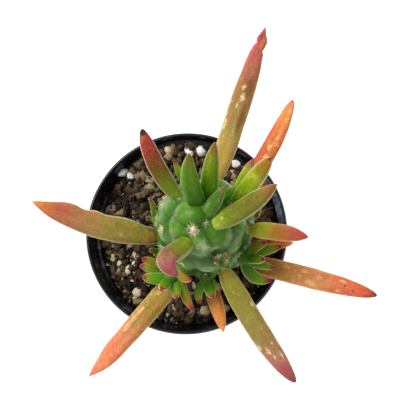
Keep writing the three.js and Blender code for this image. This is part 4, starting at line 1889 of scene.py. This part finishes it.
@dataclass(frozen=True)
class Studio:
    """A plain pale floor under a bright even sky and one wide soft lamp."""

    floor_size: float = 2.4
    floor_colour: str = "#f4f4f3"
    floor_glow: float = 0.7
    sky: float = 0.55
    lamp_power: float = 9.5
    lamp_size: float = 0.5
    lamp_place: Place = (-0.45, 0.35, 0.85)
    lamp_target: Place = (0.0, 0.0, 0.1)

    def floor(self) -> None:
        """Makes the floor, which isn't part of the object."""
        half = self.floor_size / 2
        mesh = bpy.data.meshes.new("floor")
        corners = [(-half, -half, 0), (half, -half, 0), (half, half, 0), (-half, half, 0)]
        mesh.from_pydata(corners, [], [(0, 1, 2, 3)])
        floor = add_object("floor", mesh)
        colour = {"Base Color": paint(self.floor_colour), "Roughness": 0.9, "Specular IOR Level": 0.1}
        glow = {"Emission Color": WHITE, "Emission Strength": self.floor_glow}
        mesh.materials.append(Surface("floor").finish({**colour, **glow}))

    def build(self) -> None:
        """Makes the floor, the sky and the lamp."""
        self.floor()
        scene = bpy.context.scene
        scene.view_settings.view_transform = "Standard"
        world = bpy.data.worlds.new("sky")
        world.use_nodes = True
        scene.world = world
        graph = Graph(world.node_tree)
        seen = graph.node("ShaderNodeLightPath", output="Is Camera Ray")
        strength = self.sky + seen * (1.0 - self.sky)
        sky = graph.node("ShaderNodeBackground", None, {"Color": WHITE, "Strength": strength})
        graph.node("ShaderNodeOutputWorld", None, {"Surface": sky})
        data = bpy.data.lights.new("lamp", "AREA")
        data.energy = self.lamp_power
        data.size = self.lamp_size
        place = Vector(self.lamp_place)
        aim = (place - Vector(self.lamp_target)).to_track_quat("Z", "Y")
        lamp = add_object("lamp", data)
        lamp.matrix_world = Matrix.Translation(place) @ aim.to_matrix().to_4x4()


def marks(kind: Blemish, *rows: Sequence[float]) -> tuple[Mark, ...]:
    """Marks of one kind.

    Args:
        kind: What they are.
        rows: The other values of each mark.

    Returns:
        The marks.
    """
    return tuple(Mark(kind, *row) for row in rows)


PALE, DARK, DRY, FLUSH, BROWN = Blemish

LEAVES = (
    Leaf(
        "leaf_west", Areole(-168, 37, 0.0),
        BladeSpec(
            (-55.6, 7.1, 122), 2.6, 1.5, 9.8, 0.42,
            swells=(
                Swell(0.2, 1, -0.6, 0.15), Swell(0.3, -1, 1.0, 0.15), Swell(0.53, -1, 0.7, 0.06),
                Swell(0.62, -1, -0.3, 0.05), Swell(0.74, -1, 1.3, 0.12),
            ),
            marks=marks(PALE, (0.3, 0.2, 5.0, 2.0, 0.3), (0.44, -0.2, 3.0, 1.6, 0.3))
            + marks(BROWN, (0.02, 0.0, 1.8, 3.0, 1.2), (0.5, 0.4, 4.0, 0.8, 0.5))
            + marks(FLUSH, (0.62, -0.6, 3.0, 1.4, 0.5), (0.78, -0.3, 6.0, 1.6, 0.6)),
        ),
        "leaf_olive",
        LeafSkin(
            fade(
                "0#4f3812 7#6b5418 15#827929 36#8b7f36 52#a28348 66#ae754a 80#b8644c 93#cf7838 "
                "100#dd9148"
            ),
            margin_and_rim_light="#e8d0a4", margin_and_rim_light_strength=0.5, blotch="#bcb45c", blotches=0.3, flush=0.3,
            ruddy="#a05a34", crimson="#b04a40",
        ),
    ),
    Leaf(
        "leaf_north", Areole(77, 39),
        BladeSpec(
            (35.5, 73.5, 130), 0.3, 1.5, 8.8,
            swells=(
                Swell(0.9, 1, -0.6, 0.014), Swell(0.93, 1, 0.35, 0.02), Swell(0.86, -1, -0.6, 0.012),
                Swell(0.92, -1, 0.8, 0.03),
            ),
            # The long pale stripes along the left edge are painted light on the lit side; the brown on
            # the right side is partly brown mottling and partly painted shade.
            marks=marks(
                PALE, (0.57, -0.1, 2.2, 1.4, 0.8), (0.63, 0.1, 1.4, 1.0, 0.9),
                (0.51, 0.2, 1.6, 0.8, 0.8), (0.38, 0.75, 3.4, 0.5, 0.9), (0.45, 0.85, 12.0, 0.5, 0.45),
            )
            + marks(DRY, (0.95, -0.6, 5.2, 1.3, 1.4))
            + marks(BROWN, (0.44, -0.5, 9.0, 1.3, 0.9), (0.63, -0.35, 6.0, 1.8, 0.9))
            + marks(FLUSH, (0.94, 0.45, 2.6, 1.3, 1.2), (0.85, 0.3, 4.0, 1.6, 0.4))
            + marks(
                DARK, (0.85, -0.25, 2.2, 0.28, 0.9), (0.89, 0.2, 0.35, 1.2, 0.8),
                (0.94, 0.0, 2.4, 0.2, 0.7),
            ),
        ),
        "leaf_olive",
        LeafSkin(
            fade("0#aa8630 15#b89a46 35#a9914a 50#a07e48 66#a46d46 80#b75f52 92#cc5a5a 100#b33345"),
            margin_and_rim_light="#e8d498", margin_and_rim_light_strength=0.6, blotch="#efd79a", blotches=0.22, flush=0.25,
            brown="#6c3a12",
        ),
    ),
    Leaf(
        "leaf_north_east", Areole(43, 31),
        BladeSpec(
            (46.4, 49.7, 112), -1.6, 1.5, 7.4, taper=BLUNT,
            marks=marks(
                PALE, (0.62, -0.3, 7.0, 1.6, 0.5), (0.55, 0.1, 2.2, 1.0, 0.9),
                (0.46, -0.1, 1.8, 1.2, 0.8), (0.86, -0.5, 5.0, 1.4, 0.6),
            )
            + marks(FLUSH, (0.68, 0.85, 6.0, 1.2, 0.8), (0.99, 0.0, 0.9, 1.0, 0.9)),
        ),
        "leaf_orange",
        LeafSkin(
            fade("0#9c5c34 35#c9673e 52#d0723c 68#de8147 84#ee9452 100#ed8755"), margin_and_rim_light="#ee7c50",
            margin_and_rim_light_strength=0.4, blotch="#f8bd84", blotches=0.4, ruddy="#df5c38", flush=0.45,
            crimson="#d8483c",
        ),
    ),
    Leaf(
        "leaf_east", Areole(-43, 27),
        BladeSpec(
            (79.3, -27.9, 104), 0.3, 1.5, 8.4, taper=BLUNT,
            marks=marks(
                PALE, (0.37, 0.5, 2.0, 0.9, 0.8), (0.49, 0.5, 2.2, 0.9, 0.9),
                (0.47, -0.1, 1.3, 1.0, 0.8), (0.55, -0.5, 2.6, 1.4), (0.6, 0.25, 1.6, 1.3),
                (0.7, 0.0, 8.0, 2.2, 0.4), (0.76, 0.5, 2.0, 0.8, 0.8), (0.74, -0.7, 1.4, 0.6, 0.8),
            )
            + marks(DARK, (0.78, 0.1, 0.6, 0.5, 0.8), (0.84, -0.3, 0.6, 0.4))
            + marks(BROWN, (0.25, 0.0, 7.0, 2.4, 0.6), (0.66, -0.7, 5.0, 0.8, 0.5)),
        ),
        "leaf_orange",
        LeafSkin(
            fade("0#6c4a24 34#c0883c 46#dc9656 60#f09e60 74#e07048 88#d8603a 95#bb4a38 100#6a2a30"),
            margin_and_rim_light="#e2a070", blotch="#f0c684", blotches=0.35, ruddy="#cd5630", flush=0.4,
        ),
    ),
    Leaf(
        "leaf_south_east", Areole(-66, 45, 0.5),
        BladeSpec(
            (46.9, -61.2, 112), -1.5, 1, 8.7, taper=BLUNT,
            marks=marks(
                PALE, (0.36, 0.75, 1.6, 0.7, 0.8), (0.66, -0.8, 1.4, 0.6, 0.9),
                (0.71, -0.35, 2.0, 0.9, 0.8), (0.77, -0.15, 1.4, 0.6, 0.9), (0.79, 0.6, 1.6, 0.6, 0.8),
                (0.68, 0.4, 1.0, 0.4, 0.8), (0.22, -0.2, 0.6, 0.4, 0.9), (0.26, 0.1, 0.5, 0.3, 0.9),
            )
            + marks(BROWN, (0.1, -0.7, 4.0, 0.8, 0.7), (0.62, 0.1, 7.0, 1.2, 0.5))
            + marks(FLUSH, (0.9, -0.2, 6.0, 2.0, 0.6), (0.02, 0.3, 1.6, 1.6, 0.8)),
        ),
        "leaf_olive",
        LeafSkin(
            fade("0#96781f 7#b4a43a 20#938f2c 50#8d7f38 66#9a7b49 80#aa6a5a 92#9c534a 100#81404a"),
            margin_and_rim_light="#e0cf9a", margin_and_rim_light_strength=0.5, blotch="#e6d29c", blotches=0.16, flush=0.18,
            ruddy="#96603c",
        ),
    ),
    Leaf(
        "leaf_south_west", Areole(-118, 27),
        BladeSpec(
            (-34.1, -60.6, 108), 0.6, 1.5, 8.8,
            swells=(Swell(0.84, 1, 0.9, 0.12), Swell(0.78, -1, 0.4, 0.1)),
            # The long pale streak along the upper left side is painted light on the lit edge.
            marks=marks(
                PALE, (0.52, -0.5, 14.0, 1.3, 0.5), (0.42, -0.5, 1.6, 0.6, 0.9),
                (0.6, -0.4, 1.4, 0.6, 0.9), (0.24, -0.3, 3.0, 1.6, 0.6),
            )
            + marks(BROWN, (0.4, 0.6, 9.0, 1.0, 0.6)),
        ),
        "leaf_orange",
        LeafSkin(
            fade("0#65721e 20#9d8834 36#9c8030 50#b28448 66#d68457 80#e87f56 92#ef8760 100#e07050"),
            margin_and_rim_light="#eec890", margin_and_rim_light_strength=0.4, blotch="#f0d488", blotches=0.32, ruddy="#dc6c46",
            flush=0.3,
        ),
    ),
    Leaf(
        "leaf_south", Areole(-88, 20),
        BladeSpec((18.1, -43.2, 92), 0.4, 0.5, 6.4, marks=marks(BROWN, (0.6, 0.6, 5.0, 0.6, 0.6))),
        "leaf_orange",
        LeafSkin(
            fade("0#5c5218 35#945f24 65#df8c3e 85#df8c44 100#e2935a"), blotch="#f2b878",
            ruddy="#cf6a3c",
        ),
    ),
    Leaf(
        "leaf_east_upper", Areole(-6, 47), BladeSpec((50.9, -7.8, 134), 0.6, 1.2, 6.6), "leaf_green",
        LeafSkin(
            fade("0#989410 22#ccd03a 40#d2b240 53#c8863a 68#cc7448 82#c05548 93#b04846 100#86203c"),
            margin_and_rim_light="#e6cf90", margin_and_rim_light_strength=0.4, blotch="#d0cc60", blotches=0.12, flush=0.1,
        ),
    ),
    Leaf(
        "leaf_east_lower", Areole(-14, 26), BladeSpec((46.6, -6.9, 100), 0, 1, 6), "leaf_orange",
        LeafSkin(
            fade("0#7e3a1c 40#9c3614 62#d86a36 82#de7e42 100#ee9440"), blotches=0.1, ruddy="#b4381e",
            flush=0.4,
        ),
    ),
    Leaf(
        "leaf_north_west", Areole(138, 59, 0.3),
        BladeSpec(
            (-10.4, 32.3, 136), 1.7, 1.5, 6.8, taper=BLUNT,
            marks=marks(DARK, (0.975, 0.1, 1.8, 1.5)) + marks(DRY, (0.9, 0.3, 1.6, 1.2, 0.8)),
        ),
        "leaf_green",
        LeafSkin(
            fade("0#71802a 22#5f720e 36#60580e 50#6c4514 66#853c20 80#a43932 94#a63a3c 100#7a3838"),
            margin_and_rim_light="#ead2b4", margin_and_rim_light_strength=0.65, blotches=0.04, dark="#2b2926", flush=0.1,
        ),
    ),
    Leaf(
        "leaf_curled", Areole(-134, 66, 0.0),
        BladeSpec(
            (4.7, -22.4, 142), -4.9, -1.5, 8.1, 0.72, taper=STOUT,
            marks=marks(FLUSH, (0.75, 0.2, 3.0, 2.0, 0.4)),
        ),
        "leaf_green",
        LeafSkin(
            fade("0#70881a 30#6e861a 47#6c7220 61#7a5c34 71#986650 84#9c5a54 100#9c3c52"),
            margin_and_rim_light="#e2dcb8", margin_and_rim_light_strength=0.32, blotches=0.08, flush=0.1,
        ),
        start=(7.0, -8.05, 133.2),
    ),
    Leaf(
        "leaf_crown_north_west", Areole(112, 69.4),
        BladeSpec((10, 17.8, 160), 1.6, 0.5, 7.4, taper=CROWN), "leaf_green",
        LeafSkin(
            fade("0#2e5c06 35#4b8205 75#658d0b 90#757b16 100#985722"), margin_and_rim_light="#a8c46e",
            margin_and_rim_light_strength=0.45, blotch="#78a024", flush=0.0,
        ),
    ),
    Leaf(
        "leaf_crown_north", Areole(78, 68.2),
        BladeSpec(
            (18.5, 22.1, 158), 0.4, 1, 6.8, taper=CROWN,
            # The long pale stripe left of the middle is a painted highlight along the lit side of the
            # ridge.
            marks=marks(PALE, (0.62, 0.25, 8.0, 0.9, 0.9), (0.35, -0.6, 5.0, 0.6, 0.6)),
        ),
        "leaf_green",
        LeafSkin(
            fade("0#3a680c 30#599604 55#6b9207 74#848420 90#8c6a20 100#984a30"), margin_and_rim_light="#c2d288",
            margin_and_rim_light_strength=0.55, blotch="#9cac24", blotches=0.15, flush=0.0,
        ),
    ),
    Leaf(
        "leaf_crown_middle", Areole(60, 70.9),
        BladeSpec(
            (21.6, 7.7, 152), 0, 0.5, 5.6, taper=CROWN, marks=marks(PALE, (0.3, 0.4, 4.0, 1.0, 0.7)),
        ),
        "leaf_green",
        LeafSkin(
            fade("0#56802c 40#467018 75#466f0e 90#68681c 100#8f3735"), margin_and_rim_light="#b4cc88",
            margin_and_rim_light_strength=0.5, blotch="#7ca854", flush=0.0,
        ),
    ),
    Leaf(
        "leaf_crown_small", Areole(45, 67), BladeSpec((24.6, 8.6, 147), 0, 0.5, 3.8), "leaf_green",
        LeafSkin(
            fade("0#2f6009 50#3b7808 80#4f7f0a 92#78802a 100#9a4c3a"), margin_and_rim_light="#9cbc60", blotches=0.05,
            flush=0.0,
        ),
    ),
    Leaf(
        "leaf_crown_north_east", Areole(22, 62),
        BladeSpec(
            (37.4, 16.9, 156), 0.3, 1.2, 6.6, taper=BLUNT,
            marks=marks(PALE, (0.66, 0.1, 1.6, 1.2), (0.3, 0.2, 3.0, 1.0, 0.6))
            + marks(DARK, (0.985, 0.1, 0.5, 0.5, 0.9)),
        ),
        "leaf_green",
        LeafSkin(
            fade("0#718c1c 25#76a00a 45#8aa40e 62#a6ae2e 78#968420 91#a66e28 100#8a4a22"),
            margin_and_rim_light="#dfe0a0", margin_and_rim_light_strength=0.6, blotch="#cccc50", blotches=0.12, flush=0.0,
        ),
    ),
    Leaf(
        "leaf_crown_east", Areole(-44, 69.8),
        BladeSpec(
            (39.3, 7.3, 160), -0.8, 1, 7.2,
            marks=marks(PALE, (0.2, 0.2, 1.0, 0.8), (0.12, -0.3, 0.7, 0.6, 0.8))
            + marks(BROWN, (0.9, -0.6, 4.0, 1.2, 0.9), (0.62, -0.2, 5.0, 1.4, 0.5)),
        ),
        "leaf_green",
        LeafSkin(
            fade("0#a4b440 25#6a7e16 45#666e12 64#6a6a18 80#7a6a20 91#8c6036 100#78362a"),
            margin_and_rim_light="#d8d498", margin_and_rim_light_strength=0.5, blotch="#b8bc50", blotches=0.12, flush=0.08,
        ),
    ),
    Leaf(
        "leaf_small_north_east", Areole(42, 50), BladeSpec((31, 22.6, 127), 0, 0.5, 4.6), "leaf_green",
        LeafSkin(fade("0#6a9208 45#80a00a 72#a6aa3c 88#98683a 100#a8443a"), blotches=0.1, flush=0.0),
    ),
    Leaf(
        "leaf_small_east", Areole(14, 52), BladeSpec((35.9, 13, 131), 0, 0.5, 4.6), "leaf_green",
        LeafSkin(fade("0#5c660a 50#727a20 78#84662c 90#8e3a28 100#9c1c30"), blotches=0.05, flush=0.1),
    ),
    Leaf(
        "leaf_small_north", Areole(116, 50), BladeSpec((0.5, 22.9, 126), 0.3, 0.3, 2.8), "leaf_green",
        LeafSkin(fade("0#508808 55#92b838 78#98ac2e 90#984a2e 100#c42644"), blotches=0.0, flush=0.0),
    ),
)


def bunch(*rows: Sequence[object]) -> tuple[Leaflet, ...]:
    """Leaflets of a shoot.

    Args:
        rows: The tip, width and bow of each, then its tone and start where they aren't plain.

    Returns:
        The leaflets.
    """
    return tuple(
        Leaflet(BladeSpec(tip, bow, 0.8, width, taper=LEAFLET), *rest) for tip, width, bow, *rest in rows
    )


SHOOTS = (
    Shoot(
        "shoot_south_west", Areole(-124, 36, 0.4), 5.0, 3.0,
        bunch(
            ((-14.6, -13.6, 105), 3.8, 0.8, 0.4, (-1.8, -16.0, 99.6)),
            ((-16.2, -16.4, 101), 4.2, 0.8, 0.1, (-1.8, -16.7, 98.6)),
            ((-14.4, -21.2, 104), 4.8, 0.4, 0.0, (-4.0, -21.4, 101)), ((-5.6, -26.4, 111), 4.4, 0.0),
            ((0.0, -29.8, 106), 4.2, -0.4, 0.0, (-0.6, -21.6, 102)),
            ((6.0, -34.2, 101), 3.9, -0.8, 0.65, (0.6, -20.6, 103)),
            ((6.6, -22.6, 111), 3.8, -2.2, 0.75, (0.3, -15.4, 106.0)),
        ),
    ),
    Shoot(
        "shoot_south_east", Areole(-38, 39, 0.5), 0.8, 2.8,
        bunch(
            ((36, -7.6, 113), 4.0, 1.0, 0.4), ((42, -8.8, 108), 4.4, 0.6, 0.2),
            ((30.7, -8.4, 110), 2.4, 0.0), ((35.2, -14.6, 114), 3.8, 0.0),
            ((39, -17.4, 106), 3.6, -0.4), ((38, -22, 100), 5.0, -3.4),
        ),
    ),
    Shoot(
        "shoot_south", Areole(-88, 30, 0.4), 0.8, 2.6,
        bunch(
            ((8.4, -31.6, 96), 3.6, -1.6), ((14.2, -29.2, 100), 4.6, 0.0),
            ((17.4, -26.4, 99), 2.8, 0.6),
        ),
    ),
    Shoot(
        "shoot_west", Areole(172, 38, 1.2), 0.6, 1.6,
        bunch(((-10.4, 9.2, 113), 2.6, -0.6, 0.2), ((-12.6, 2.4, 108), 1.8, 0.0, 0.6)),
    ),
    Shoot(
        "bud_south_west", Areole(-152, 34), 0.4, 1.5,
        bunch(((-11, -10.4, 107), 2.2, 0.0), ((-9.4, -12.4, 105), 2.0, 0.0)),
    ),
    Shoot(
        "bud_south", Areole(-66, 54), 0.2, 1.6,
        bunch(
            ((16.8, -16.2, 127), 2.0, 0.0, 0.3), ((20.8, -15.2, 127), 2.0, 0.0, 0.5),
            ((20.6, -12.6, 128), 1.8, 0.0, 0.3),
        ),
    ),
    Shoot(
        "bud_east", Areole(10, 46), 0.4, 1.5,
        bunch(((33.4, 4.6, 118), 2.0, 0.0, 0.6), ((32.6, 2.4, 118), 1.8, 0.0, 0.6)),
    ),
)

BARE_CROWN_FROM = 64.0
CROWN_WOOL = (Areole(-132, 69.4, 1.2), Areole(-60, 70.7, 0.35))
WOOL_ABOVE_LEAF = 3.4


def main() -> None:
    """Builds every piece."""
    logging.basicConfig(level=logging.INFO, format="%(message)s")
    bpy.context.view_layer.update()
    Viewpoint().build()
    Studio().build()
    held = [leaf.areole for leaf in LEAVES] + [shoot.areole for shoot in SHOOTS]
    body = TubercledStem(StemForm(), held)
    pot = NurseryPot()
    mix = PottingMix(pot, body.form)
    pot.build(mix.middle)
    mix.build()
    CactusStem(body).build()
    woolly = [
        Areole(spot.turn, spot.rise + WOOL_ABOVE_LEAF, spot.wool)
        for spot in held
        if spot.rise < BARE_CROWN_FROM and spot.wool
    ]
    AreoleWool(body, [*woolly, *CROWN_WOOL, *body.bare]).build()
    for seed, leaf in enumerate(LEAVES):
        leaf.build(body, seed)
    skin = LeafletSkin().build()
    for shoot in SHOOTS:
        shoot.build(body, skin)


if __name__ == "__main__":
    main()
